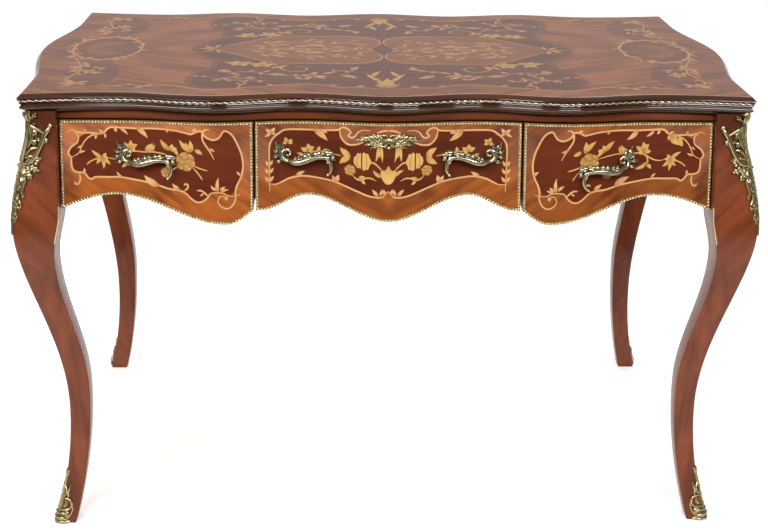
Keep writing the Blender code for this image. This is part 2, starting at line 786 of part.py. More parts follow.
def leaf_outline():
    """The lobed leaf at a handle's outer end, as (along, up) from its foot."""
    outline = []
    count = 4 * LEAF_LOBES
    for i in range(count):
        angle = 2 * math.pi * i / count
        radius = LEAF_RADIUS + LEAF_LOBE * math.cos(LEAF_LOBES * angle - 0.6)
        lengthened = 1.0 + 0.35 * max(0.0, math.sin(angle + 0.3))
        outline.append((radius * math.cos(angle), radius * lengthened * math.sin(angle)))
    return outline


def make_handle(name, seat, block, parent):
    """A cast scroll handle: a leaf on one foot, a curving stem to the other, and a curl beyond it."""

    def at(along, up, out):
        x, z = on_seat(seat, along, up)
        return Vector((x, -face_y(x, z) - out, z))

    (leaf_x, leaf_z), (curl_x, curl_z) = handle_screws(seat)
    leaf_foot = Vector((leaf_x, -face_y(leaf_x, leaf_z), leaf_z))
    curl_foot = Vector((curl_x, -face_y(curl_x, curl_z), curl_z))
    sunk = Vector((0.0, HANDLE_POST / 2, 0.0))
    standing = Vector((0.0, -HANDLE_POST, 0.0))
    stem = smooth_path(
        [
            leaf_foot + sunk,
            leaf_foot + standing,
            at(0.75 * LEAF_FOOT_RUN, -0.2 * HANDLE_SAG, HANDLE_REACH * 0.85),
            at(0.25 * LEAF_FOOT_RUN, -HANDLE_SAG, HANDLE_REACH),
            at(-0.32 * CURL_FOOT_RUN, -0.2 * HANDLE_SAG, HANDLE_REACH),
            at(-0.74 * CURL_FOOT_RUN, 0.3 * HANDLE_SAG, HANDLE_REACH * 0.9),
            curl_foot + standing,
            curl_foot + sunk,
        ],
        2,
    )
    middle = len(stem) / 2
    radii = [HANDLE_RADIUS * (1.05 - 0.12 * math.cos(math.pi * (i / middle - 1))) for i in range(len(stem))]
    handle = add_piece(name, tube_mesh(name, stem, radii), "brass", parent)

    def past_foot(along, up, out):
        return at(-CURL_FOOT_RUN - along * CURL_SIZE, up * CURL_SIZE, out * HANDLE_REACH)

    tail = smooth_path(
        [
            past_foot(-0.33, 0.08, 0.72),
            past_foot(0.58, -0.17, 0.66),
            past_foot(1.00, -0.92, 0.60),
            past_foot(0.67, -1.58, 0.52),
            past_foot(0.08, -1.42, 0.48),
        ],
        2,
    )
    radii = [between(CURL_RADIUS, CURL_TIP_RADIUS, i / (len(tail) - 1)) for i in range(len(tail))]
    curl = add_piece(f"{name}_curl", tube_mesh(f"{name}_curl", tail, radii), "brass")
    hide_cutter(curl)
    boolean(handle, curl, "UNION")

    leaf_mesh = flat_mesh(f"{name}_leaf", leaf_outline(), 4 * LEAF_THICKNESS)
    for vert in leaf_mesh.vertices:
        along, up, depth = vert.co
        x, z = on_seat(seat, LEAF_FOOT_RUN + along, LEAF_FOOT_RISE + LEAF_LOBE + up)
        vert.co = (x, LEAF_THICKNESS - face_y(leaf_x, z) - depth, z)
    if seat[2] > 0:
        leaf_mesh.flip_normals()
    leaf = add_piece(f"{name}_leaf", leaf_mesh, "brass")
    hide_cutter(leaf)
    boolean(handle, leaf, "UNION")
    boolean(handle, block, "DIFFERENCE")

    for index, (x, z) in enumerate(handle_screws(seat)):
        face = -face_y(x, z)
        bore_name = f"{name}_bore_{index}"
        reach = SCREW_BITE + SCREW_CLEARANCE
        mesh = cylinder_mesh(bore_name, SCREW_RADIUS + SCREW_CLEARANCE, face - reach, face + reach, x, z, 8)
        bore = add_piece(bore_name, mesh, "steel")
        hide_cutter(bore)
        boolean(handle, bore, "DIFFERENCE")
    shade_round(handle)
    for label, (x, z) in zip(("leaf", "curl"), handle_screws(seat)):
        make_screw(f"{name}_screw_{label}", x, z, parent)


def make_screw(name, x, z, parent):
    """A screw from inside the drawer, through its front and into a handle's foot."""
    seat = -FRONT_BACK + FIT
    tip = -face_y(x, z) - SCREW_BITE
    shank = [(SCREW_RADIUS, tip), (SCREW_RADIUS, seat)]
    head = [(SCREW_HEAD_RADIUS, seat), (SCREW_HEAD_RADIUS * 0.8, seat + SCREW_HEAD_THICKNESS)]
    sides = 8
    rings = []
    for radius, y in shank + head:
        angles = [2 * math.pi * i / sides for i in range(sides)]
        rings.append([(x + radius * math.cos(a), y, z + radius * math.sin(a)) for a in angles])
    screw = add_piece(name, loft_mesh(name, rings), "steel", parent)
    shade_round(screw)


def make_escutcheon(parent):
    """The foliate plaque over the centre drawer's swell. It is purely ornamental and has no keyhole."""
    centre_z = DRAWER_TOP - BEAD_EDGE - BEAD_WIDTH - ESCUTCHEON_GAP - ESCUTCHEON_HALF_HEIGHT
    rings = []
    for t in steps(-1.0, 1.0, ESCUTCHEON_STEPS):
        x = ESCUTCHEON_HALF_WIDTH * t
        leaves = 0.80 + 0.20 * math.cos(2 * math.pi * 3 * t)
        half = ESCUTCHEON_HALF_HEIGHT * (0.18 + 0.82 * (1 - abs(t) ** 1.4)) * leaves
        proud = ESCUTCHEON_PROUD * (0.45 + 0.55 * (1 - t * t))
        section = [(-half, 0.0), (-half, 0.3 * proud), (0.0, proud), (half, 0.3 * proud), (half, 0.0)]
        rings.append(
            [(x, -face_y(x, centre_z + up) - MOUNT_FIT - out, centre_z + up) for up, out in section]
        )
    plaque = add_piece("escutcheon", loft_mesh("escutcheon", rings), "brass", parent)
    shade_round(plaque)


def make_drawers():
    inner_half = DIVIDER_X - PARTITION_THICKNESS / 2 - BOX_SIDE_GAP
    near = DIVIDER_X + PARTITION_THICKNESS / 2 + BOX_SIDE_GAP
    far = GUIDE_INNER_X - BOX_SIDE_GAP
    centre_screws = handle_screws(CENTRE_LEFT_SEAT) + handle_screws(CENTRE_RIGHT_SEAT)
    left = make_drawer("left", -OUTER_EDGE, -SIDE_EDGE, -far, -near, handle_screws(LEFT_SEAT))
    centre = make_drawer("centre", -CENTRE_EDGE, CENTRE_EDGE, -inner_half, inner_half, centre_screws)
    right = make_drawer("right", SIDE_EDGE, OUTER_EDGE, near, far, handle_screws(RIGHT_SEAT))
    block = face_block()
    make_handle("handle_left", LEFT_SEAT, block, left)
    make_handle("handle_centre_left", CENTRE_LEFT_SEAT, block, centre)
    make_handle("handle_centre_right", CENTRE_RIGHT_SEAT, block, centre)
    make_handle("handle_right", RIGHT_SEAT, block, right)
    make_escutcheon(centre)


clear_scene()
PARTS = new_collection("writing_desk")
CUTTERS = new_collection("writing_desk_cutters")
CUTTERS.hide_render = True
make_top()
CORNERS = {"front_left": (-1, -1), "front_right": (1, -1), "back_left": (-1, 1), "back_right": (1, 1)}
for corner, (corner_x, corner_y) in CORNERS.items():
    make_leg(corner, corner_x, corner_y)
    make_knee_mount(corner, corner_x, corner_y)
    make_sabot(corner, corner_x, corner_y)
make_frieze()
make_drawers()
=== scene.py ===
import math

import bmesh
import bpy
from mathutils import Matrix, Vector


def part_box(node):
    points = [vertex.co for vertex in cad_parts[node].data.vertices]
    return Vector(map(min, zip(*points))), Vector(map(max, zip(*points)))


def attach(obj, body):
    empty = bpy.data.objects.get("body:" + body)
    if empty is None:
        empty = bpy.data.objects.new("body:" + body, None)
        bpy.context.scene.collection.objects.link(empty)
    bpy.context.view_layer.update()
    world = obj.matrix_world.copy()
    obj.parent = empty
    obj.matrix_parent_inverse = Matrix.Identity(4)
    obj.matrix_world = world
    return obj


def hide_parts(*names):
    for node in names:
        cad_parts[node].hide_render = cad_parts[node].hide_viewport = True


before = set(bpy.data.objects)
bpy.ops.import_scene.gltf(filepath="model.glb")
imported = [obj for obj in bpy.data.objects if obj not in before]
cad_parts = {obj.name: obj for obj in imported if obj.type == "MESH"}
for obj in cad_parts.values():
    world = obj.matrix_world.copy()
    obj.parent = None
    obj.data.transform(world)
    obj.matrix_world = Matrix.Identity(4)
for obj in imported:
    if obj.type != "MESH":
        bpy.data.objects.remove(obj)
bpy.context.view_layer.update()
mm = 0.001

# the lines of the desk, in metres
deskForm = {
    "waveDepth": 0.011,  # serpentine of the top, then of the drawers
    "faceWaveDepth": 0.0075,
    "faceLean": 0.19,  # how far the drawers come forward for each metre down
    "wavePitch": 0.290,
    "cornerLift": 0.005,
    "endBow": 0.029,
    "endBowRun": 0.250,
    "overhang": 0.0225,  # top past the drawer faces
    "railSetback": 0.003,
    "sideOverhang": 0.034,
    "sideBow": 0.030,
    "drawerHeight": 0.1422,
    "crestRise": 0.0235,  # shaped lower edge
    "sideLobe": 0.0212,
    "centreLobe": 0.016,
    "sideLobeRun": 0.043,
    "sideCrestRun": 0.090,
    "centreCrestRun": 0.085,
    "centreFlat": 0.011,
    "endCrestRun": 0.150,
}
legForm = {
    "topOuter": 0.577,  # places of the arrises along x
    "kneeOuter": 0.611,
    "ankleOuter": 0.5505,
    "toeOuter": 0.5815,
    "topInner": 0.535,
    "hollowInner": 0.548,
    "ankleInner": 0.514,
    "toeInner": 0.547,
    "kneeZ": 0.552,
    "hollowZ": 0.502,
    "ankleZ": 0.215,
    "ankleInnerZ": 0.250,
    "shinEase": 0.85,
    "arris": 0.0035,
    "step": 0.008,
}
topLow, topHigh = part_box("top_panel")
deskHeight, underside = topHigh.z, topLow.z
cornerX = topHigh.x - deskForm["endBow"]
waveMean = topHigh.y - deskForm["waveDepth"]
cornerY = waveMean + deskForm["cornerLift"]
faceMean = waveMean - deskForm["overhang"]
legDiagonal = cornerX - cornerY
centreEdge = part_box("drawer_centre_front")[1].x
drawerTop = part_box("drawer_centre_front")[1].z
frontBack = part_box("drawer_centre_front")[1].y  # inner side of the drawer fronts
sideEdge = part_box("drawer_right_front")[0].x
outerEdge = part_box("drawer_right_front")[1].x
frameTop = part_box("front_top_rail")[1].z
drawerEnd = drawerTop - deskForm["drawerHeight"]
legInnerY = legForm["topInner"] - legDiagonal
corners = {"front_left": (-1, -1), "front_right": (1, -1), "back_left": (-1, 1), "back_right": (1, 1)}


def ease(t):
    return t * t * (3 - 2 * t)


def mix(start, end, t):
    return start + (end - start) * t


def spread(start, end, count):
    return [mix(start, end, i / count) for i in range(count + 1)]


def wave(x):
    if abs(x) > 1.5 * deskForm["wavePitch"]:
        return -1.0
    return math.cos(2 * math.pi * x / deskForm["wavePitch"])


def faceReach(x, z):
    return faceMean + deskForm["faceWaveDepth"] * wave(x) + deskForm["faceLean"] * (drawerTop - z)


def topReach(x):
    lastHollow = 1.5 * deskForm["wavePitch"]
    t = max(0.0, (abs(x) - lastHollow) / (cornerX - lastHollow))
    lift = (deskForm["waveDepth"] + deskForm["cornerLift"]) * (1 - math.cos(math.pi * t / 2))
    return waveMean + deskForm["waveDepth"] * wave(x) + lift


def swell(y, reach):
    return 0.5 + 0.5 * math.cos(math.pi * min(1.0, abs(y) / reach))


def endReach(y):
    return cornerX - deskForm["sideOverhang"] + deskForm["sideBow"] * swell(y, legInnerY)


def lowEdge(x):
    run = abs(x)
    crest = drawerEnd + deskForm["crestRise"]
    sideLobe = drawerEnd - deskForm["sideLobe"]
    centreLobe = drawerEnd - deskForm["centreLobe"]
    centreCrestX = centreEdge - deskForm["centreCrestRun"]
    flatX = centreEdge - deskForm["centreFlat"]
    sideLobeX = sideEdge + deskForm["sideLobeRun"]
    sideCrestX = outerEdge - deskForm["sideCrestRun"]
    if run <= centreCrestX:
        return mix(centreLobe, crest, ease(run / centreCrestX))
    if run <= flatX:
        return mix(crest, drawerEnd, ease((run - centreCrestX) / (flatX - centreCrestX)))
    if run <= sideEdge:
        return drawerEnd
    if run <= sideLobeX:
        t = (sideLobeX - run) / deskForm["sideLobeRun"]
        return mix(sideLobe, drawerEnd, 1 - math.cos(math.pi * t / 2))
    if run <= sideCrestX:
        return mix(sideLobe, crest, ease((run - sideLobeX) / (sideCrestX - sideLobeX)))
    t = min(1.0, (run - sideCrestX) / deskForm["sideCrestRun"])
    return mix(crest, drawerEnd, 1 - math.cos(math.pi * t / 2))


def endLowEdge(y):
    run = abs(y)
    crest = drawerEnd + deskForm["crestRise"]
    if run <= deskForm["endCrestRun"]:
        return mix(drawerEnd - deskForm["centreLobe"], crest, ease(run / deskForm["endCrestRun"]))
    t = (run - deskForm["endCrestRun"]) / (legInnerY - deskForm["endCrestRun"])
    return mix(crest, drawerEnd, 1 - math.cos(math.pi * t / 2))


def legOuter(z):
    f = legForm
    if z >= f["kneeZ"]:
        return mix(f["topOuter"], f["kneeOuter"], ease((underside - z) / (underside - f["kneeZ"])))
    if z >= f["ankleZ"]:
        t = ((f["kneeZ"] - z) / (f["kneeZ"] - f["ankleZ"])) ** f["shinEase"]
        return mix(f["kneeOuter"], f["ankleOuter"], ease(t))
    return mix(f["ankleOuter"], f["toeOuter"], ((f["ankleZ"] - z) / f["ankleZ"]) ** 2)


def legInner(z):
    f = legForm
    if z >= drawerEnd:
        return f["topInner"]
    if z >= f["hollowZ"]:
        return mix(f["topInner"], f["hollowInner"], ease((drawerEnd - z) / (drawerEnd - f["hollowZ"])))
    if z >= f["ankleInnerZ"]:
        t = (f["hollowZ"] - z) / (f["hollowZ"] - f["ankleInnerZ"])
        return mix(f["hollowInner"], f["ankleInner"], ease(t))
    return mix(f["ankleInner"], f["toeInner"], ((f["ankleInnerZ"] - z) / f["ankleInnerZ"]) ** 2)


# surfaces that inlay and brass lie on: two places in metres, then how far out
def onDrawers(x, z, lift):
    return (x, -faceReach(x, z) - lift, z)


def onInlay(x, z, lift):
    # patterns measured on a flat upright front are drawn in along the line of sight
    eyeX, eyeReach = inlay["eye"]
    drop = (drawerTop - z + inlay["sink"] * (1 + wave(x)) / 2) * inlay["shorten"]
    along = x - (x - eyeX) * deskForm["faceLean"] * drop / eyeReach
    return onDrawers(along, drawerTop - drop, lift)


def onBack(x, z, lift):
    return (x, faceReach(x, z) + lift, z)


def onTop(x, y, lift):
    return (x, y, deskHeight + lift)


def onEnd(side):
    return lambda y, z, lift: (side * (endReach(y) + lift), y, z)


# meshes are gathered as points and faces, then made into one piece
def newShape():
    return {"points": [], "faces": [], "slots": [], "shade": []}


def addLoft(shape, rings, joined=False, slot=0, shade=None, capSlot=None, capFrom=math.inf):
    first, size = len(shape["points"]), len(rings[0])
    for index, ring in enumerate(rings):
        shape["points"].extend(tuple(point) for point in ring)
        mark = shade[index] if shade else 0.0
        shape["shade"].extend(mark if isinstance(mark, list) else [mark] * size)
    rows = list(range(len(rings)))
    pairs = list(zip(rows, rows[1:]))
    if joined:
        pairs.append((rows[-1], 0))
    else:
        last = first + size * rows[-1]
        shape["faces"] += [tuple(range(first, first + size)), tuple(range(last, last + size))]
        shape["slots"] += [slot, slot if capSlot is None else capSlot]
    for row, following in pairs:
        rowSlot = capSlot if row >= capFrom else slot
        for i in range(size):
            j = (i + 1) % size
            quad = (row * size + i, row * size + j, following * size + j, following * size + i)
            shape["faces"].append(tuple(first + corner for corner in quad))
            shape["slots"].append(rowSlot)


def curveThrough(points, fineness, closed=False):
    points = [Vector(point) for point in points]
    if closed:
        ends = [points[-1]] + points + points[:2]
    else:
        ends = [points[0] * 2 - points[1]] + points + [points[-1] * 2 - points[-2]]
    path = []
    for before, start, end, after in zip(ends, ends[1:], ends[2:], ends[3:]):
        for i in range(fineness):
            t = i / fineness
            bend = (2 * before - 5 * start + 4 * end - after) * t * t
            turn = (3 * start - before - 3 * end + after) * t**3
            path.append((2 * start + (end - before) * t + bend + turn) * 0.5)
    return path if closed else path + [points[-1]]


def insetLoop(outline, distance):
    moved = []
    for i, point in enumerate(outline):
        into = (Vector(point) - Vector(outline[i - 1])).normalized()
        away = (Vector(outline[(i + 1) % len(outline)]) - Vector(point)).normalized()
        first = Vector((-into.y, into.x))
        both = (first + Vector((-away.y, away.x))).normalized()
        moved.append(Vector(point) + both * (distance / both.dot(first)))
    return moved


def makePiece(name, shape, materials, body, replaced=(), sharp=40):
    mesh = bpy.data.meshes.new(name)
    mesh.from_pydata(shape["points"], [], shape["faces"])
    for material in materials:
        mesh.materials.append(material)
    mesh.polygons.foreach_set("material_index", shape["slots"])
    marks = mesh.attributes.new("shade", "FLOAT", "POINT")
    marks.data.foreach_set("value", shape["shade"])
    facing = bmesh.new()
    facing.from_mesh(mesh)
    bmesh.ops.recalc_face_normals(facing, faces=facing.faces)
    facing.to_mesh(mesh)
    facing.free()
    mesh.shade_smooth()
    mesh.set_sharp_from_angle(angle=math.radians(sharp))
    piece = bpy.data.objects.new(name, mesh)
    bpy.context.scene.collection.objects.link(piece)
    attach(piece, body)
    if replaced:
        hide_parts(*replaced)
    return piece


# shader groups shared by the materials
def newGroup(name, inputs, outputs):
    group = bpy.data.node_groups.new(name, "ShaderNodeTree")
    for label, kind, value in inputs:
        socket = group.interface.new_socket(label, in_out="INPUT", socket_type=kind)
        if value is not None:
            socket.default_value = value
    for label, kind in outputs:
        group.interface.new_socket(label, in_out="OUTPUT", socket_type=kind)
    return group, group.nodes.new("NodeGroupInput"), group.nodes.new("NodeGroupOutput")


def addNode(tree, kind, links=(), **settings):
    node = tree.nodes.new(kind)
    for key, value in settings.items():
        setattr(node, key, value)
    for target, source in links:
        if hasattr(source, "is_output"):
            tree.links.new(source, node.inputs[target])
        else:
            node.inputs[target].default_value = source
    return node


def stretchedNoise(tree, vector, stretch, detail, distortion=0.0):
    scaled = addNode(tree, "ShaderNodeVectorMath", [(0, vector), (1, stretch)], operation="MULTIPLY")
    links = [("Vector", scaled.outputs[0]), ("Scale", 1.0), ("Detail", detail), ("Distortion", distortion)]
    return addNode(tree, "ShaderNodeTexNoise", links).outputs["Fac"]


def remap(tree, value, low, high, toLow, toHigh):
    links = [(0, value), (1, low), (2, high), (3, toLow), (4, toHigh)]
    return addNode(tree, "ShaderNodeMapRange", links).outputs[0]


def calc(tree, operation, first, second):
    return addNode(tree, "ShaderNodeMath", [(0, first), (1, second)], operation=operation).outputs[0]


def blend(tree, factor, first, second, mode="MIX"):
    links = [(0, factor), (6, first), (7, second)]
    return addNode(tree, "ShaderNodeMix", links, data_type="RGBA", blend_type=mode).outputs[2]


def makeGrainGroup():
    inputs = [
        ("Vector", "NodeSocketVector", None),
        ("Light", "NodeSocketColor", (0.5, 0.2, 0.08, 1)),
        ("Dark", "NodeSocketColor", (0.2, 0.06, 0.03, 1)),
        ("Figure", "NodeSocketFloat", 0.5),
    ]
    group, given, out = newGroup("woodGrain", inputs, [("Color", "NodeSocketColor"), ("Fibre", "NodeSocketFloat")])
    vector = given.outputs["Vector"]
    streak = stretchedNoise(group, vector, (4.0, 75.0, 75.0), 6.0, 0.4)
    fibre = stretchedNoise(group, vector, (22.0, 620.0, 620.0), 3.0)
    cloud = stretchedNoise(group, vector, (6.0, 13.0, 13.0), 3.0, 1.2)
    figured = calc(group, "MULTIPLY", remap(group, cloud, 0.3, 0.7, -0.5, 0.5), given.outputs["Figure"])
    ground = calc(group, "ADD", remap(group, streak, 0.28, 0.72, 0.0, 1.0), figured)
    tone = calc(group, "ADD", calc(group, "MULTIPLY", ground, 0.8), calc(group, "MULTIPLY", fibre, 0.25))
    clamped = remap(group, tone, 0.0, 1.0, 0.0, 1.0)
    group.links.new(blend(group, clamped, given.outputs["Dark"], given.outputs["Light"]), out.inputs["Color"])
    group.links.new(fibre, out.inputs["Fibre"])
    return group


def makePatinaShadeGroup():
    inputs = [
        ("Polished", "NodeSocketColor", (0.8, 0.65, 0.36, 1)),
        ("TarnishAndShade", "NodeSocketColor", (0.1, 0.07, 0.02, 1)),
        ("Depth", "NodeSocketFloat", 0.005),
    ]
    outputs = [("Color", "NodeSocketColor"), ("Roughness", "NodeSocketFloat"), ("Pits", "NodeSocketFloat")]
    group, given, out = newGroup("brassPatinaAndShade", inputs, outputs)
    place = addNode(group, "ShaderNodeTexCoord").outputs["Object"]
    patches = stretchedNoise(group, place, (160.0, 160.0, 160.0), 4.0)
    pits = stretchedNoise(group, place, (900.0, 900.0, 900.0), 2.0)
    # patina and painted shade: ambient occlusion and the shade marks darken hollows, grooves and undersides towards the
    # dark colour
    hollows = addNode(group, "ShaderNodeAmbientOcclusion", [("Distance", given.outputs["Depth"])], samples=8)
    carved = addNode(group, "ShaderNodeAttribute", attribute_name="shade").outputs["Fac"]
    occlusion = remap(group, hollows.outputs["AO"], 0.3, 0.95, 1.0, 0.0)
    hollowPatinaAndShade = calc(group, "MAXIMUM", occlusion, calc(group, "MULTIPLY", carved, 0.75))
    patinaAndShade = calc(group, "ADD", hollowPatinaAndShade, remap(group, patches, 0.45, 0.8, 0.0, 0.35))
    patinaAndShade = remap(group, patinaAndShade, 0.05, 1.0, 0.0, 1.0)
    group.links.new(blend(group, patinaAndShade, given.outputs["Polished"], given.outputs["TarnishAndShade"]), out.inputs["Color"])
    group.links.new(remap(group, patinaAndShade, 0.0, 1.0, 0.18, 0.55), out.inputs["Roughness"])
    group.links.new(pits, out.inputs["Pits"])
    return group


grainGroup = makeGrainGroup()
patinaShadeGroup = makePatinaShadeGroup()


def placeGroup(tree, group, links):
    node = addNode(tree, "ShaderNodeGroup", node_tree=group)
    for target, source in links:
        if hasattr(source, "is_output"):
            tree.links.new(source, node.inputs[target])
        else:
            node.inputs[target].default_value = source
    return node


def grainPlace(tree, rotation, matched=True):
    place = addNode(tree, "ShaderNodeTexCoord").outputs["Object"]
    if matched:
        place = addNode(tree, "ShaderNodeVectorMath", [(0, place)], operation="ABSOLUTE").outputs[0]
    turn = tuple(math.radians(angle) for angle in rotation)
    return addNode(tree, "ShaderNodeMapping", [("Vector", place), ("Rotation", turn)]).outputs[0]


def newMaterial(name, **values):
    material = bpy.data.materials.new(name)
    material.use_nodes = True
    shader = material.node_tree.nodes["Principled BSDF"]
    for label, value in values.items():
        shader.inputs[label.replace("_", " ")].default_value = value
    return material, material.node_tree, shader


def bumpInto(tree, shader, height, strength, distance):
    links = [("Strength", strength), ("Distance", distance), ("Height", height)]
    bump = addNode(tree, "ShaderNodeBump", links)
    tree.links.new(bump.outputs[0], shader.inputs["Normal"])


def grainMaterial(name, light, dark, rotation, figure=0.5, gloss=(0.2, 0.3), matched=True, bump=0.05, **values):
    material, tree, shader = newMaterial(name, **values)
    links = [("Vector", grainPlace(tree, rotation, matched)), ("Light", (*light, 1)), ("Dark", (*dark, 1))]
    grain = placeGroup(tree, grainGroup, links + [("Figure", figure)])
    tree.links.new(grain.outputs["Color"], shader.inputs["Base Color"])
    tree.links.new(remap(tree, grain.outputs["Fibre"], 0.3, 0.7, *gloss), shader.inputs["Roughness"])
    bumpInto(tree, shader, grain.outputs["Fibre"], bump, 0.0002)
    return material


# woods: light and dark tones of the grain, and how the grain is turned in degrees
woods = {
    "topField": {"light": (0.27, 0.084, 0.024), "dark": (0.12, 0.034, 0.010), "rotation": (0, 0, 28), "figure": 1.1},
    "topReserve": {"light": (0.14, 0.040, 0.015), "dark": (0.070, 0.020, 0.009), "rotation": (0, 0, 4)},
    "topPatch": {"light": (0.18, 0.055, 0.019), "dark": (0.095, 0.028, 0.010), "rotation": (0, 0, 4)},
    "topCartouche": {"light": (0.25, 0.080, 0.024), "dark": (0.15, 0.044, 0.012), "rotation": (0, 0, 2)},
    "drawerBorder": {"light": (0.45, 0.118, 0.017), "dark": (0.13, 0.028, 0.005), "rotation": (0, 34, 0), "figure": 1.1},
    "drawerReserve": {"light": (0.15, 0.026, 0.006), "dark": (0.085, 0.014, 0.003), "rotation": (0, 6, 0)},
    "rail": {"light": (0.18, 0.044, 0.011), "dark": (0.085, 0.020, 0.006), "rotation": (0, 2, 0)},
    "apron": {"light": (0.28, 0.066, 0.014), "dark": (0.14, 0.030, 0.007), "rotation": (0, 28, 28)},
}
for name in ("drawerBorder", "drawerReserve", "rail", "apron"):
    woods[name].update(gloss=(0.3, 0.42), Specular_IOR_Level=0.05 if name == "rail" else 0.15)
veneers = {name: grainMaterial(name, **values) for name, values in woods.items() if name != "drawerBorder"}


def shadeUpperFaces(material, shadeColour):
    # painted shade: the upward-facing faces of a drawer front are darkened, standing for the shade under the rail
    tree = material.node_tree
    colour = tree.nodes["Principled BSDF"].inputs["Base Color"]
    normal = addNode(tree, "ShaderNodeNewGeometry").outputs["Normal"]
    upward = addNode(tree, "ShaderNodeSeparateXYZ", [(0, normal)]).outputs["Z"]
    shadedColour = blend(tree, remap(tree, upward, 0.5, 0.9, 0.0, 1.0), colour.links[0].from_socket, shadeColour)
    tree.links.new(shadedColour, colour)


# each drawer's border is the same veneer made lighter or darker, lighter on the left and darker on the right: by how
# much
borderTones = {"left": 1.12, "centre": 0.94, "right": 0.80}
for place, tone in borderTones.items():
    values = dict(woods["drawerBorder"])
    values.update({shade: tuple(tone * channel for channel in values[shade]) for shade in ("light", "dark")})
    veneers[f"{place}Border"] = grainMaterial(f"{place}Border", **values)
    # painted shade on the upper faces of each front
    shadeUpperFaces(veneers[f"{place}Border"], (0.05, 0.018, 0.008, 1))


def makeLegVeneer():
    # diagonal on the knee, upright on the shin
    material, tree, shader = newMaterial("legVeneer", Specular_IOR_Level=0.3)
    tones = [("Light", (0.265, 0.062, 0.019, 1)), ("Dark", (0.112, 0.024, 0.008, 1)), ("Figure", 0.9)]
    knee = placeGroup(tree, grainGroup, [("Vector", grainPlace(tree, (0, 48, 0)))] + tones)
    shin = placeGroup(tree, grainGroup, [("Vector", grainPlace(tree, (0, 86, 0)))] + tones)
    place = addNode(tree, "ShaderNodeTexCoord").outputs["Object"]
    height = addNode(tree, "ShaderNodeSeparateXYZ", [(0, place)]).outputs["Z"]
    upper = remap(tree, height, 0.46, 0.53, 0.0, 1.0)
    colour = blend(tree, upper, shin.outputs["Color"], knee.outputs["Color"])
    topShadow = remap(tree, height, 0.67, 0.742, 0.0, 0.62)  # painted shadow of the top's overhang: the leg darkens towards its top
    colour = blend(tree, topShadow, colour, (0.03, 0.012, 0.006, 1))
    tree.links.new(colour, shader.inputs["Base Color"])
    tree.links.new(remap(tree, knee.outputs["Fibre"], 0.3, 0.7, 0.2, 0.3), shader.inputs["Roughness"])
    bumpInto(tree, shader, shin.outputs["Fibre"], 0.05, 0.0002)
    return material


def makeEdgeLacquer():
    material, tree, shader = newMaterial("edgeLacquer", Coat_Roughness=0.02, Specular_IOR_Level=0.25)
    tones = [("Light", (0.085, 0.030, 0.013, 1)), ("Dark", (0.030, 0.011, 0.006, 1))]
    grain = placeGroup(tree, grainGroup, [("Vector", grainPlace(tree, (0, 0, 0)))] + tones)
    tree.links.new(grain.outputs["Color"], shader.inputs["Base Color"])
    tree.links.new(remap(tree, grain.outputs["Fibre"], 0.3, 0.7, 0.10, 0.18), shader.inputs["Roughness"])
    # rubbed bright along the front, duller round the ends
    normal = addNode(tree, "ShaderNodeNewGeometry").outputs["Normal"]
    facing = addNode(tree, "ShaderNodeSeparateXYZ", [(0, normal)]).outputs["Y"]
    tree.links.new(remap(tree, facing, -0.5, -0.2, 1.0, 0.1), shader.inputs["Coat Weight"])
    return material


def inlayMaterial(name, light, dark, scorched, rotation):
    # sand-shaded inlay: the shade mark on its points darkens it
    material, tree, shader = newMaterial(name)
    links = [("Vector", grainPlace(tree, rotation)), ("Light", (*light, 1)), ("Dark", (*dark, 1)), ("Figure", 0.6)]
    grain = placeGroup(tree, grainGroup, links)
    mark = addNode(tree, "ShaderNodeAttribute", attribute_name="shade").outputs["Fac"]
    colour = blend(tree, mark, grain.outputs["Color"], (*scorched, 1))
    tree.links.new(colour, shader.inputs["Base Color"])
    tree.links.new(remap(tree, grain.outputs["Fibre"], 0.3, 0.7, 0.22, 0.32), shader.inputs["Roughness"])
    return material


def brassMaterial(name, polished, tarnishAndShade, depth, metal=1.0):
    # the dark colour is patina together with painted shade in the hollows
    material, tree, shader = newMaterial(name, Metallic=metal)
    links = [("Polished", (*polished, 1)), ("TarnishAndShade", (*tarnishAndShade, 1)), ("Depth", depth)]
    patinaShaded = placeGroup(tree, patinaShadeGroup, links)
    tree.links.new(patinaShaded.outputs["Color"], shader.inputs["Base Color"])
    tree.links.new(patinaShaded.outputs["Roughness"], shader.inputs["Roughness"])
    bumpInto(tree, shader, patinaShaded.outputs["Pits"], 0.15, 0.0004)
    return material


veneers["leg"] = makeLegVeneer()
veneers["edge"] = makeEdgeLacquer()
boxwood = inlayMaterial("boxwood", (0.80, 0.44, 0.18), (0.66, 0.33, 0.12), (0.32, 0.11, 0.035), (0, 30, 30))
satinwood = inlayMaterial("satinwood", (0.76, 0.46, 0.145), (0.60, 0.33, 0.085), (0.28, 0.10, 0.022), (0, 60, 60))
topBoxwood = inlayMaterial("topBoxwood", (0.46, 0.23, 0.10), (0.34, 0.155, 0.062), (0.20, 0.075, 0.030), (0, 30, 30))
topSatin = inlayMaterial("topSatin", (0.46, 0.26, 0.085), (0.36, 0.18, 0.052), (0.21, 0.09, 0.026), (0, 30, 60))
castBrass = brassMaterial("castBrass", (0.58, 0.48, 0.25), (0.045, 0.032, 0.012), 0.006)
handleBrass = brassMaterial("handleBrass", (0.58, 0.52, 0.34), (0.022, 0.020, 0.012), 0.006)
beadBrass = brassMaterial("beadBrass", (1.0, 0.79, 0.40), (0.040, 0.022, 0.010), 0.0012, 0.86)
ropeBrass = brassMaterial("ropeBrass", (0.80, 0.64, 0.49), (0.020, 0.011, 0.007), 0.0012)
softwood = grainMaterial(
    "softwood", (0.62, 0.40, 0.20), (0.44, 0.25, 0.11), (0, 0, 90), 0.4, (0.55, 0.7), matched=False, bump=0.2
)
print("materials made")

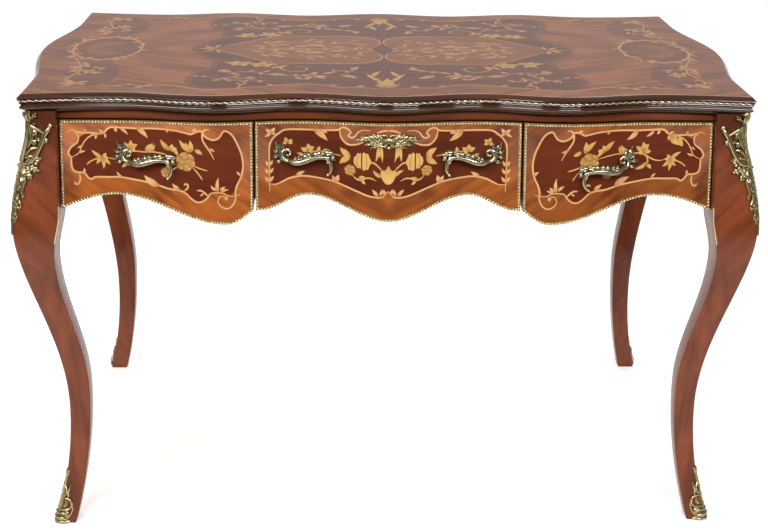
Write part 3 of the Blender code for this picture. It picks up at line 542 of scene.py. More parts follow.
# top board: how far each line of the moulded edge lies in, and below the top, in mm
topEdge = {
    "step": 0.005,
    "profile": [
        (16, 31), (15.4, 30), (14, 29), (11.5, 27.8), (9, 26.9), (6.8, 25.7), (5.4, 24.2), (4.8, 22.6), (5.2, 21.0),
        (6.4, 19.6), (7.4, 18.4), (6.0, 16.6), (4.4, 15.4), (5.0, 14.2), (5.0, 8.8), (2.2, 8.4), (1.6, 7.6), (2.2, 6.4),
        (3.4, 5.0), (4.8, 3.6), (6.2, 2.3), (7.4, 1.2), (8.4, 0.45), (9.4, 0.1), (10.5, 0), (13, 0), (17, 0),
    ],
    "veneerFrom": 22,  # the line where the dark edge ends
    "ropePitch": 0.0115,  # from strand to strand
    "ropeDrop": 0.0115,
    "ropeInset": 0.0020,
    "ropeRadius": 0.0019,
    "ropeStrands": 2,
}


def topOutline(inset=0.0):
    # the same outline moved in on every side
    frontCount = math.ceil(2 * cornerX / topEdge["step"])
    endCount = math.ceil(2 * cornerY / topEdge["step"])
    shareX, shareY = 1 - inset / cornerX, 1 - inset / cornerY
    front = [(x * shareX, inset - topReach(x)) for x in spread(-cornerX, cornerX, frontCount)]
    ys = spread(-cornerY, cornerY, endCount)
    end = [(cornerX + deskForm["endBow"] * swell(y, deskForm["endBowRun"]) - inset, y * shareY) for y in ys]
    half = front[:-1] + end[:-1]
    return half + [(-x, -y) for x, y in half]


def buildTop():
    rings = []
    for inset, drop in topEdge["profile"]:
        rings.append([(*point, deskHeight - drop * mm) for point in topOutline(inset * mm)])
    shape = newShape()
    addLoft(shape, rings, slot=1, capSlot=0, capFrom=topEdge["veneerFrom"])
    makePiece("top_board", shape, [veneers["topField"], veneers["edge"]], "carcass", ["top_panel"], 50)


def evenLoop(points, step):
    loop = [Vector(point) for point in points]
    lengths = [(loop[(i + 1) % len(loop)] - point).length for i, point in enumerate(loop)]
    count = round(sum(lengths) / step)
    spacing = sum(lengths) / count
    placed, walked, index = [], 0.0, 0
    for i in range(count):
        while walked + lengths[index] < i * spacing:
            walked += lengths[index]
            index += 1
        t = (i * spacing - walked) / lengths[index]
        placed.append(loop[index].lerp(loop[(index + 1) % len(loop)], t))
    return placed, sum(lengths)


def buildRope():
    loop, length = evenLoop(topOutline(topEdge["ropeInset"]), 0.0018)
    path = [(loop[i - 5] + point + loop[(i + 5) % len(loop)]) / 3 for i, point in enumerate(loop)]  # eases its corners
    strands = topEdge["ropeStrands"]
    turns = round(length / (strands * topEdge["ropePitch"]))
    sides = 12
    rings, shade = [], []
    for i, point in enumerate(path):
        heading = (path[(i + 1) % len(path)] - path[i - 1]).normalized()
        outward = Vector((heading.y, -heading.x))
        twist = 2 * math.pi * turns * i / len(path)
        ring, marks = [], []
        for k in range(sides):
            angle = 2 * math.pi * k / sides
            lobe = abs(math.cos(strands * (angle + twist) / 2))
            radius = topEdge["ropeRadius"] * mix(0.4, 1.0, lobe)
            flat = point + outward * radius * math.cos(angle)
            ring.append((*flat, deskHeight - topEdge["ropeDrop"] + radius * math.sin(angle)))
            marks.append(min(1.0, max(0.0, (0.9 - lobe) / 0.3)))
        rings.append(ring)
        shade.append(marks)
    shape = newShape()
    addLoft(shape, rings, joined=True, shade=shade)
    makePiece("top_rope", shape, [ropeBrass], "carcass", ["top_rope_moulding"], 80)


def roundedSquare(low, high, radius, steps=4):
    ring = []
    centres = [(high, high, 0), (low, high, 90), (low, low, 180), (high, low, 270)]
    for a, b, start in centres:
        centreA = a - radius if a == high else a + radius
        centreB = b - radius if b == high else b + radius
        for angle in spread(start, start + 90, steps):
            turn = math.radians(angle)
            ring.append((centreA + radius * math.cos(turn), centreB + radius * math.sin(turn)))
    return ring


def buildLegs():
    heights = spread(0.0, frameTop, math.ceil(frameTop / legForm["step"]))
    for corner, (sideX, sideY) in corners.items():
        rings = []
        for z in heights:
            soft = min(1.0, 0.35 + z / 0.004)  # the foot's edge is eased
            square = roundedSquare(legInner(z), legOuter(z), legForm["arris"])
            middle = (legInner(z) + legOuter(z)) / 2
            ring = [(mix(middle, a, 0.97 + 0.03 * soft), mix(middle, b, 0.97 + 0.03 * soft)) for a, b in square]
            rings.append([(sideX * a, sideY * (b - legDiagonal), z) for a, b in ring])
        shape = newShape()
        addLoft(shape, rings)
        makePiece(f"leg_{corner}_veneered", shape, [veneers["leg"]], "carcass", [f"leg_{corner}"])


def shapedBoard(xs, surface, setback, low, top, inner):
    rings = []
    soft = 0.0006  # eased arrises
    for x in xs:
        bottom = low(x)
        rings.append(
            [
                surface(x, bottom + soft, -setback),
                surface(x, top - soft, -setback),
                surface(x, top, -setback - soft),
                (x, inner, top),
                (x, inner, bottom),
                surface(x, bottom, -setback - soft),
            ]
        )
    shape = newShape()
    addLoft(shape, rings)
    return shape


def fineSteps(low, high, step=0.004):
    return spread(low, high, math.ceil((high - low) / step))


def buildFrieze():
    railLow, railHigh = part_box("front_top_rail")
    across = fineSteps(railLow.x, railHigh.x)
    rail = shapedBoard(across, onDrawers, deskForm["railSetback"], lambda x: railLow.z, frameTop, railHigh.y)
    makePiece("front_rail_veneered", rail, [veneers["rail"]], "carcass", ["front_top_rail"])
    back = shapedBoard(across, onBack, 0.0, lowEdge, frameTop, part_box("back_apron")[0].y)
    makePiece("back_apron_veneered", back, [veneers["apron"]], "carcass", ["back_apron"])
    for side, place in ((-1, "left"), (1, "right")):
        low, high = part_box(f"side_apron_{place}")
        inner = high.x if side < 0 else low.x
        rings = []
        for y in fineSteps(low.y, high.y):
            bottom = endLowEdge(y)
            surface = onEnd(side)
            rings.append(
                [
                    surface(y, bottom + 0.0006, 0.0),
                    surface(y, frameTop, 0.0),
                    (inner, y, frameTop),
                    (inner, y, bottom),
                    surface(y, bottom, -0.0006),
                ]
            )
        shape = newShape()
        addLoft(shape, rings)
        name = f"side_apron_{place}"
        makePiece(f"{name}_veneered", shape, [veneers["apron"]], "carcass", [name])


buildTop()
buildRope()
buildLegs()
buildFrieze()
print("woodwork built")

drawers = {
    "left": (-outerEdge, -sideEdge),
    "centre": (-centreEdge, centreEdge),
    "right": (sideEdge, outerEdge),
}
for place, (left, right) in drawers.items():
    front = shapedBoard(fineSteps(left, right), onDrawers, 0.0, lowEdge, drawerTop, -abs(frontBack))
    name = f"drawer_{place}_front"
    makePiece(f"{name}_veneered", front, [veneers[f"{place}Border"]], f"drawer_{place}", [name])

# brass beading: a flat strip with a row of beads on it
beading = {"edge": 0.0002, "width": 0.0046, "strip": 0.0008, "pitch": 0.0050, "beadWidth": 0.0046, "beadRise": 0.0032}


def frameOutline(left, right, low, top):
    across = fineSteps(left, right)
    bottom = [(x, low(x)) for x in across]
    rightSide = [(right, z) for z in fineSteps(low(right), top)]
    upper = [(x, top) for x in reversed(across)]
    leftSide = [(left, z) for z in reversed(fineSteps(low(left), top))]
    return bottom[:-1] + rightSide[:-1] + upper[:-1] + leftSide[:-1]


def addBeads(shape, path, surface, closed):
    # path runs along the middle of the strip, evenly spaced, several points to a bead
    perBead = 6
    rings, shade = [], []
    last = len(path) - 1
    for i, point in enumerate(path):
        ahead = path[(i + 1) % len(path)] if closed else path[min(i + 1, last)]
        behind = path[i - 1] if closed or i else path[0]
        heading = (ahead - behind).normalized()
        aside = Vector((-heading.y, heading.x))
        bulge = abs(math.sin(math.pi * i / perBead))
        size = mix(0.25, 1.0, bulge**0.7)
        ring = []
        for k in range(7):
            angle = math.pi * k / 6
            spot = point + aside * (beading["beadWidth"] / 2 * size * math.cos(angle))
            ring.append(surface(spot.x, spot.y, 0.0002 + beading["beadRise"] * size * math.sin(angle)))
        rings.append(ring)
        shade.append(1 - bulge)
    addLoft(shape, rings, joined=closed, shade=shade)


def addStrip(shape, outerPath, innerPath, surface, closed):
    rings = []
    for outer, inner in zip(outerPath, innerPath):
        rings.append(
            [
                surface(outer.x, outer.y, -0.0002),
                surface(outer.x, outer.y, beading["strip"]),
                surface(inner.x, inner.y, beading["strip"]),
                surface(inner.x, inner.y, -0.0002),
            ]
        )
    addLoft(shape, rings, joined=closed, shade=[0.8] * len(rings))


def buildDrawerBeading():
    for place, (left, right) in drawers.items():
        outline = frameOutline(left, right, lowEdge, drawerTop)
        shape = newShape()
        outer = insetLoop(outline, beading["edge"])
        inner = insetLoop(outline, beading["edge"] + beading["width"])
        addStrip(shape, outer, inner, onDrawers, True)
        middle = insetLoop(outline, beading["edge"] + beading["width"] / 2)
        loop, length = evenLoop(middle, beading["pitch"])
        loop, length = evenLoop(middle, length / (6 * len(loop)))
        addBeads(shape, loop, onDrawers, True)
        name = f"drawer_{place}_bead_frame"
        makePiece(f"drawer_{place}_beading", shape, [beadBrass], f"drawer_{place}", [name], 60)


def buildApronBeading():
    # guessed: the same beading along the lower edges of the ends and the back
    edges = {"back": (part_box("back_apron"), 0, lowEdge, onBack)}
    for side, place in ((-1, "left"), (1, "right")):
        edges[place] = (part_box(f"side_apron_{place}"), 1, endLowEdge, onEnd(side))
    for place, ((low, high), axis, edge, surface) in edges.items():
        count = round((high[axis] - low[axis]) / beading["pitch"] * 1.08)
        runs = spread(low[axis], high[axis], 6 * count)

        def along(rise):
            return [Vector((run, edge(run) + rise)) for run in runs]

        shape = newShape()
        coarse = slice(None, None, 6)
        addStrip(shape, along(beading["edge"])[coarse], along(beading["width"])[coarse], surface, False)
        addBeads(shape, along(beading["width"] / 2), surface, False)
        makePiece(f"{place}_apron_beading", shape, [beadBrass], "carcass", sharp=60)


buildDrawerBeading()
buildApronBeading()
print("beading built")

# marquetry: thin closed inlays that follow the surface they are let into
inlay = {
    "depth": 0.0004,
    "sink": 0.0038,
    "shorten": 0.9415,
    "eye": (-0.088, 2.255),
    "ground": 0.00008,
    "line": 0.00016,
    "leaf": 0.00020,
    "flower": 0.00026,
    "apart": 0.000015,  # keeps mirrored inlays that meet from lying in one plane
}


def addRibbon(shape, surface, route, width, lift, ends=(1.0, 1.0), shade=(0.0, 0.0), fineness=5, closed=False):
    path = curveThrough(route, fineness, closed)
    last = len(path) - 1
    rings, marks = [], []
    for i, point in enumerate(path):
        ahead = path[(i + 1) % len(path)] if closed else path[min(i + 1, last)]
        behind = path[i - 1] if closed or i else path[0]
        heading = (ahead - behind).normalized()
        aside = Vector((-heading.y, heading.x))
        t = i / last
        taper = 1.0 if closed else min(1.0, mix(ends[0], 1.0, t / 0.2), mix(ends[1], 1.0, (1 - t) / 0.2))
        half = aside * (width * taper / 2)
        a, b = (point + half) * mm, (point - half) * mm
        low = -inlay["depth"]
        rings.append([surface(*a, lift), surface(*b, lift), surface(*b, low), surface(*a, low)])
        marks.append(mix(*shade, t))
    addLoft(shape, rings, joined=closed, shade=marks)


def addBlade(shape, surface, base, tip, width, lift, bend=0.0, belly=0.75, shade=(0.7, 0.0)):
    start, end = Vector(base), Vector(tip)
    reach = end - start
    aside = Vector((-reach.y, reach.x))
    rings, marks = [], []
    for t in spread(0.0, 1.0, 9):
        spine = start + reach * t + aside * (bend * 4 * t * (1 - t))
        heading = (reach + aside * (bend * 4 * (1 - 2 * t))).normalized()
        half = Vector((-heading.y, heading.x)) * (width / 2 * max(0.08, math.sin(math.pi * t**belly) ** 0.85))
        a, b = (spine + half) * mm, (spine - half) * mm
        low = -inlay["depth"]
        rings.append([surface(*a, lift), surface(*b, lift), surface(*b, low), surface(*a, low)])
        marks.append(mix(*shade, min(1.0, 2 * t)))
    addLoft(shape, rings, shade=marks)


def addStar(shape, surface, centre, tips, width, lift, shade=(0.8, 0.0)):
    for index, tip in enumerate(tips):
        addBlade(shape, surface, centre, tip, width, lift + index * 0.00001, 0.06 * (-1) ** index, 0.8, shade)


def addRose(shape, surface, centre, radius, lift, stretch=1.0):
    centre = Vector(centre)
    arcs = (spread(math.pi, 0.0, 16), spread(math.pi, 2 * math.pi, 16))
    upper, lower = ([centre + Vector((math.cos(a), stretch * math.sin(a))) * radius * 0.94 for a in arc] for arc in arcs)
    addPanel(shape, surface, upper, lower, lift - 0.00004, 1.6, 0.75)
    rows = ((0.82, 6, 0.2, 0.36), (0.48, 4, 0.7, 0.30), (0.17, 2, 1.1, 0.24))
    for share, petals, turn, width in rows:
        for petal in range(petals):
            sweep = 2 * math.pi / petals
            angles = spread(turn + petal * sweep, turn + (petal + 0.92) * sweep, 4)
            arc = [centre + Vector((math.cos(a), stretch * math.sin(a))) * (radius * share) for a in angles]
            lifted = lift + 0.00001 * (petal % 3)
            addRibbon(shape, surface, arc, radius * width, lifted, (0.3, 0.45), (0.75, 0.0), 3)


def addPanel(shape, surface, upper, lower, lift, step=4.0, shade=0.0):
    # a ground between two lines that run the same way, cut into upright strips
    def heightAt(line, run):
        for (runA, zA), (runB, zB) in zip(line, line[1:]):
            if min(runA, runB) <= run <= max(runA, runB):
                return mix(zA, zB, (run - runA) / (runB - runA) if runB != runA else 0.0)
        return line[-1][1]

    start, end = upper[0][0], upper[-1][0]
    rings = []
    for run in spread(start, end, math.ceil(abs(end - start) / step)):
        top = heightAt(upper, run)
        bottom = min(heightAt(lower, run), top - 0.3)
        ring = [(top, lift), (bottom, lift), (bottom, -inlay["depth"]), (top, -inlay["depth"])]
        rings.append([surface(run * mm, z * mm, out) for z, out in ring])
    addLoft(shape, rings, shade=[shade] * len(rings))


def addPlate(shape, surface, outline, lift):
    upper = [surface(a * mm, b * mm, lift) for a, b in outline]
    lower = [surface(a * mm, b * mm, -inlay["depth"]) for a, b in outline]
    addLoft(shape, [lower, upper])


def mirrored(sideX, sideY=1):
    return lambda points: [(sideX * a, sideY * b) for a, b in points]


# side drawers: places in mm, measured from the middle of the desk and up from the floor
sideDrawer = {
    "groundUpper": [
        (521, 673), (515, 687), (507, 691), (503, 702), (490, 708), (465, 708), (455, 717), (440, 718), (405, 717),
        (360, 718), (330, 715), (318, 713), (306, 718), (298, 711), (290, 706), (283, 705), (275, 709),
        (269, 718), (258, 716), (250, 705), (244, 691), (239, 676), (238, 663),
    ],
    "groundLower": [
        (521, 672), (518, 655), (516, 646), (508, 641), (497, 640), (491, 632), (480, 634), (440, 634), (410, 629),
        (375, 622), (345, 618), (333, 615), (326, 607), (316, 600), (305, 601), (295, 608), (290, 614),
        (268, 614), (258, 611), (251, 617), (247, 629), (241, 645), (238, 662),
    ],
    "lineWidth": 3.0,
    "lines": [
        [(522, 710), (514, 714), (508, 710), (504, 702), (506, 693), (512, 688), (518, 683), (522, 674), (518, 667),
         (518, 655), (516, 646), (509, 642), (498, 641), (493, 634), (487, 630), (480, 634), (460, 634), (440, 634),
         (415, 630), (385, 625), (362, 619), (341, 617), (331, 612), (324, 605), (314, 599), (304, 601),
         (296, 608), (290, 615), (272, 615), (264, 610), (252, 609), (243, 611)],
        [(518, 667), (510, 671), (504, 676), (500, 685), (495, 694), (487, 702), (478, 706), (464, 708), (459, 713),
         (452, 718), (440, 718), (410, 717), (378, 719), (345, 718), (328, 715), (320, 714), (312, 719),
         (303, 719), (299, 712), (292, 707), (284, 705), (276, 708), (271, 715), (267, 720), (259, 717),
         (252, 709), (246, 696), (241, 683), (238, 668), (238, 655), (242, 639), (248, 627), (251, 616),
         (251, 604), (256, 593), (265, 588), (275, 592), (280, 601), (276, 609), (268, 608), (266, 603)],
        [(508, 712), (500, 709), (488, 709), (474, 708), (462, 708)],
        [(291, 722), (298, 722), (302, 716), (302, 705), (298, 697), (291, 686), (284, 672)],
        [(506, 641), (505, 631), (508, 623), (513, 622), (515, 626)],
        [(336, 616), (330, 621), (328, 627), (332, 629), (335, 626)],
        [(295, 609), (301, 615), (307, 619), (314, 619)],
    ],
    "thorns": [  # base, tip, width
        ((506, 674), (494, 678), 4), ((500, 688), (507, 683), 3), ((493, 709), (492, 715), 4), ((476, 707), (477, 698), 4),
        ((461, 708), (470, 715), 4), ((461, 708), (461, 700), 4), ((459, 712), (456, 716), 4), ((446, 718), (442, 710), 5),
        ((437, 717), (424, 706), 5), ((410, 718), (392, 702), 8), ((362, 718), (358, 714), 4), ((316, 717), (313, 724), 6),
        ((293, 690), (283, 685), 4), ((241, 643), (248, 651), 4), ((497, 641), (497, 649), 4), ((437, 634), (445, 643), 4),
        ((376, 622), (400, 638), 11), ((342, 618), (354, 628), 7), ((303, 615), (309, 610), 3), ((268, 609), (266, 602), 6),
        ((279, 616), (278, 641), 6), ((281, 619), (291, 628), 5), ((276, 619), (267, 625), 5), ((275, 617), (262, 620), 4),
    ],
    "stems": [
        [(458, 667), (448, 665), (436, 668), (418, 678), (400, 678), (380, 679), (360, 676), (344, 672)],
        [(319, 661), (306, 656), (295, 653)],
        [(319, 657), (311, 648), (304, 637)],
        [(344, 658), (352, 652), (358, 648)],
        [(425, 676), (430, 664), (422, 658)],
        [(467, 667), (480, 664), (489, 659), (493, 655)],
    ],
    "stars": [  # centre, tips, width of a petal
        ((467, 667), [(484, 680), (461, 675), (478, 665), (457, 667), (466, 648), (477, 656), (455, 655)], 6),
        ((422, 682), [(430, 693), (420, 697), (409, 690), (434, 681), (412, 678)], 8),
        ((428, 659), [(436, 651), (420, 655), (409, 651)], 6),
        ((356, 684), [(371, 701), (352, 695), (344, 688)], 8),
        ((322, 683), [(340, 703), (323, 703), (330, 699)], 8),
    ],
    "leaves": [((395, 677), (383, 693), 9), ((386, 679), (380, 691), 6), ((316, 687), (303, 680), 7), ((350, 686), (343, 676), 6)],
    "roseCentre": (331, 667),
    "roseRadius": 16,
    "bud": (363, 646),
    "rightLeaf": ((462, 707), (486, 690), 17),  # only on the right
}


def drawLines(shape, surface, place, lines, width):
    for line in lines:
        addRibbon(shape, surface, place(line), width, inlay["line"], (0.35, 0.35), fineness=3)


def drawBlades(shape, surface, place, blades, lift, bend=0.08):
    for index, (base, tip, width) in enumerate(blades):
        base, tip = place([base, tip])
        addBlade(shape, surface, base, tip, width, lift + 0.00001 * (index % 3), bend)


def addSprigs(shape, surface, route, spacing, reach, width, lift):
    # small leaves on either side of a vine by turns
    path = curveThrough(route, 4)
    walked, hand = 0.0, 1
    for index, (behind, point) in enumerate(zip(path, path[1:])):
        walked += (point - behind).length
        if walked >= spacing:
            heading = (point - behind).normalized()
            aside = Vector((-heading.y, heading.x)) * hand
            tip = point + (heading * 0.6 + aside * 0.8) * reach
            addBlade(shape, surface, point, tip, width, lift + 0.000003 * (index % 5), 0.08 * hand)
            walked, hand = 0.0, -hand


def drawStars(shape, surface, place, stars, lift):
    for centre, tips, width in stars:
        addStar(shape, surface, place([centre])[0], place(tips), width, lift)


def buildSideInlay(place, side):
    d = sideDrawer
    at = mirrored(side)
    body = f"drawer_{place}"
    ground = newShape()
    addPanel(ground, onInlay, at(d["groundUpper"]), at(d["groundLower"]), inlay["ground"])
    makePiece(f"{body}_reserve", ground, [veneers["drawerReserve"]], body)
    strings = newShape()
    drawLines(strings, onInlay, at, d["lines"], d["lineWidth"])
    drawBlades(strings, onInlay, at, d["thorns"], inlay["leaf"])
    makePiece(f"{body}_stringing", strings, [boxwood], body)
    spray = newShape()
    drawLines(spray, onInlay, at, d["stems"], 2.4)
    drawStars(spray, onInlay, at, d["stars"], inlay["flower"])
    drawBlades(spray, onInlay, at, d["leaves"], inlay["leaf"])
    addRose(spray, onInlay, at([d["roseCentre"]])[0], d["roseRadius"], inlay["flower"])
    addRose(spray, onInlay, at([d["bud"]])[0], 9, inlay["flower"])
    if side == 1:
        drawBlades(spray, onInlay, at, [d["rightLeaf"]], inlay["leaf"])
    makePiece(f"{body}_spray", spray, [satinwood], body)


centreDrawer = {
    "groundUpper": [
        (-195, 689), (-191, 699), (-182, 708), (-170, 716), (-110, 716), (-82, 718), (-79, 710), (-75, 701), (-66, 695),
        (-52, 697), (-42, 702), (0, 704),
    ],
    "groundLower": [
        (-195, 626), (-183, 624), (-170, 631), (-150, 637), (-125, 636), (-95, 631), (-60, 620), (-30, 609),
        (-10, 608), (-3, 616), (0, 618),
    ],
    "lines": [
        [(-195, 612), (-195, 640), (-195, 665), (-195, 684), (-193, 695), (-187, 704), (-178, 711), (-168, 716),
         (-140, 716), (-110, 716), (-84, 718), (-76, 723), (-68, 722), (-62, 716), (-66, 710), (-60, 707), (-54, 711),
         (-50, 717), (-42, 721), (-30, 721)],
        [(-80, 719), (-79, 710), (-75, 702), (-68, 696), (-60, 695), (-50, 697), (-41, 701)],
        [(-195, 625), (-184, 624), (-174, 628), (-160, 634), (-140, 637), (-118, 635), (-92, 631), (-74, 625),
         (-50, 616), (-30, 609), (-12, 608), (-6, 612), (0, 619)],
        [(-20, 717), (-10, 721), (0, 722)],
    ],
    "thorns": [
        ((-195, 628), (-202, 638), 5), ((-195, 628), (-188, 638), 5), ((-195, 642), (-202, 652), 5),
        ((-195, 642), (-188, 652), 5), ((-195, 655), (-201, 665), 5), ((-195, 655), (-189, 665), 5),
        ((-191, 712), (-200, 719), 6), ((-191, 712), (-185, 720), 6), ((-191, 712), (-202, 706), 5),
        ((-191, 712), (-184, 708), 4), ((-122, 717), (-100, 699), 10), ((-112, 716), (-100, 712), 6),
        ((-152, 637), (-137, 645), 6), ((-86, 629), (-81, 642), 8), ((-86, 629), (-92, 641), 6),
        ((-16, 610), (-26, 621), 6), ((-13, 610), (-9, 622), 5), ((-5, 612), (-7, 622), 5),
        ((-150, 676), (-136, 671), 4),
    ],
    "stems": [
        [(-148, 671), (-134, 674), (-122, 679), (-108, 679), (-92, 677), (-78, 675)],
        [(-36, 667), (-26, 667), (-18, 662), (-11, 654)],
        [(-59, 644), (-53, 638), (-45, 636), (-36, 640), (-28, 640), (-20, 636)],
    ],
    "stars": [
        ((-165, 695), [(-169, 703), (-157, 699), (-157, 692), (-173, 692)], 6),
        ((-131, 680), [(-143, 685), (-132, 692), (-122, 687), (-126, 678)], 8),
        ((-62, 675), [(-79, 689), (-80, 662), (-72, 676)], 10),
    ],
    "leaves": [((-115, 679), (-112, 688), 6), ((-108, 679), (-96, 682), 7), ((-45, 636), (-38, 629), 5), ((-49, 638), (-38, 642), 6)],
    "tulipUpper": [(-13, 651), (-10, 655), (-6, 653), (-3, 657), (0, 663), (3, 657), (6, 653), (10, 655), (13, 651)],
    "tulipLower": [(-13, 650), (-12, 644), (-9, 637), (-5, 632), (0, 630), (5, 632), (9, 637), (12, 644), (13, 650)],
    "tulipPetals": [((-10, 643), (-25, 654), 6), ((10, 643), (25, 654), 6)],
    "peony": [  # two ruffled halves: upper line, lower line
        (
            [(-57, 670), (-56, 675), (-53, 677), (-51, 682), (-47, 681), (-45, 683)],
            [(-57, 667), (-56, 662), (-53, 660), (-51, 656), (-47, 657), (-45, 655)],
        ),
        (
            [(-43, 681), (-40, 684), (-37, 681), (-34, 682), (-32, 678), (-31, 674), (-29, 672), (-29, 669)],
            [(-43, 655), (-40, 652), (-37, 655), (-34, 654), (-32, 658), (-31, 662), (-29, 664), (-29, 668)],
        ),
    ],
    "peonyLines": [[(-49, 657), (-52, 668), (-48, 680)], [(-37, 656), (-35, 668), (-38, 681)]],
    "bells": [((-15, 702), (-21, 669), 6), ((-15, 702), (-10, 668), 5), ((-15, 694), (-15, 675), 4)],
    "smallRose": [(-63, 652), 9],
}


def buildCentreInlay():
    d = centreDrawer
    body = "drawer_centre"
    ground, strings, spray = newShape(), newShape(), newShape()
    for side in (1, -1):
        at = mirrored(side)
        addPanel(ground, onInlay, at(d["groundUpper"]), at(d["groundLower"]), inlay["ground"])
        drawLines(strings, onInlay, at, d["lines"], sideDrawer["lineWidth"])
        drawBlades(strings, onInlay, at, d["thorns"], inlay["leaf"], 0.04)
        drawLines(spray, onInlay, at, d["stems"], 2.6)
        drawStars(spray, onInlay, at, d["stars"], inlay["flower"])
        drawBlades(spray, onInlay, at, d["leaves"], inlay["leaf"])
        for upper, lower in d["peony"]:
            addPanel(spray, onInlay, at(upper), at(lower), inlay["flower"], 1.0)
        for route in d["peonyLines"]:
            addRibbon(spray, onInlay, at(route), 1.1, inlay["flower"] + 0.00004, (0.3, 0.3), (1.0, 0.6))
        drawBlades(spray, onInlay, at, d["bells"], inlay["flower"], 0.03)
        addRose(spray, onInlay, at([d["smallRose"][0]])[0], d["smallRose"][1], inlay["flower"])
    addPanel(spray, onInlay, d["tulipUpper"], d["tulipLower"], inlay["flower"] + 2 * inlay["apart"], 1.6)
    drawBlades(spray, onInlay, mirrored(1), d["tulipPetals"], inlay["flower"], 0.12)
    makePiece(f"{body}_reserve", ground, [veneers["drawerReserve"]], body)
    makePiece(f"{body}_stringing", strings, [boxwood], body)
    makePiece(f"{body}_spray", spray, [satinwood], body)


buildSideInlay("left", -1)
buildSideInlay("right", 1)
buildCentreInlay()
print("drawer marquetry built")

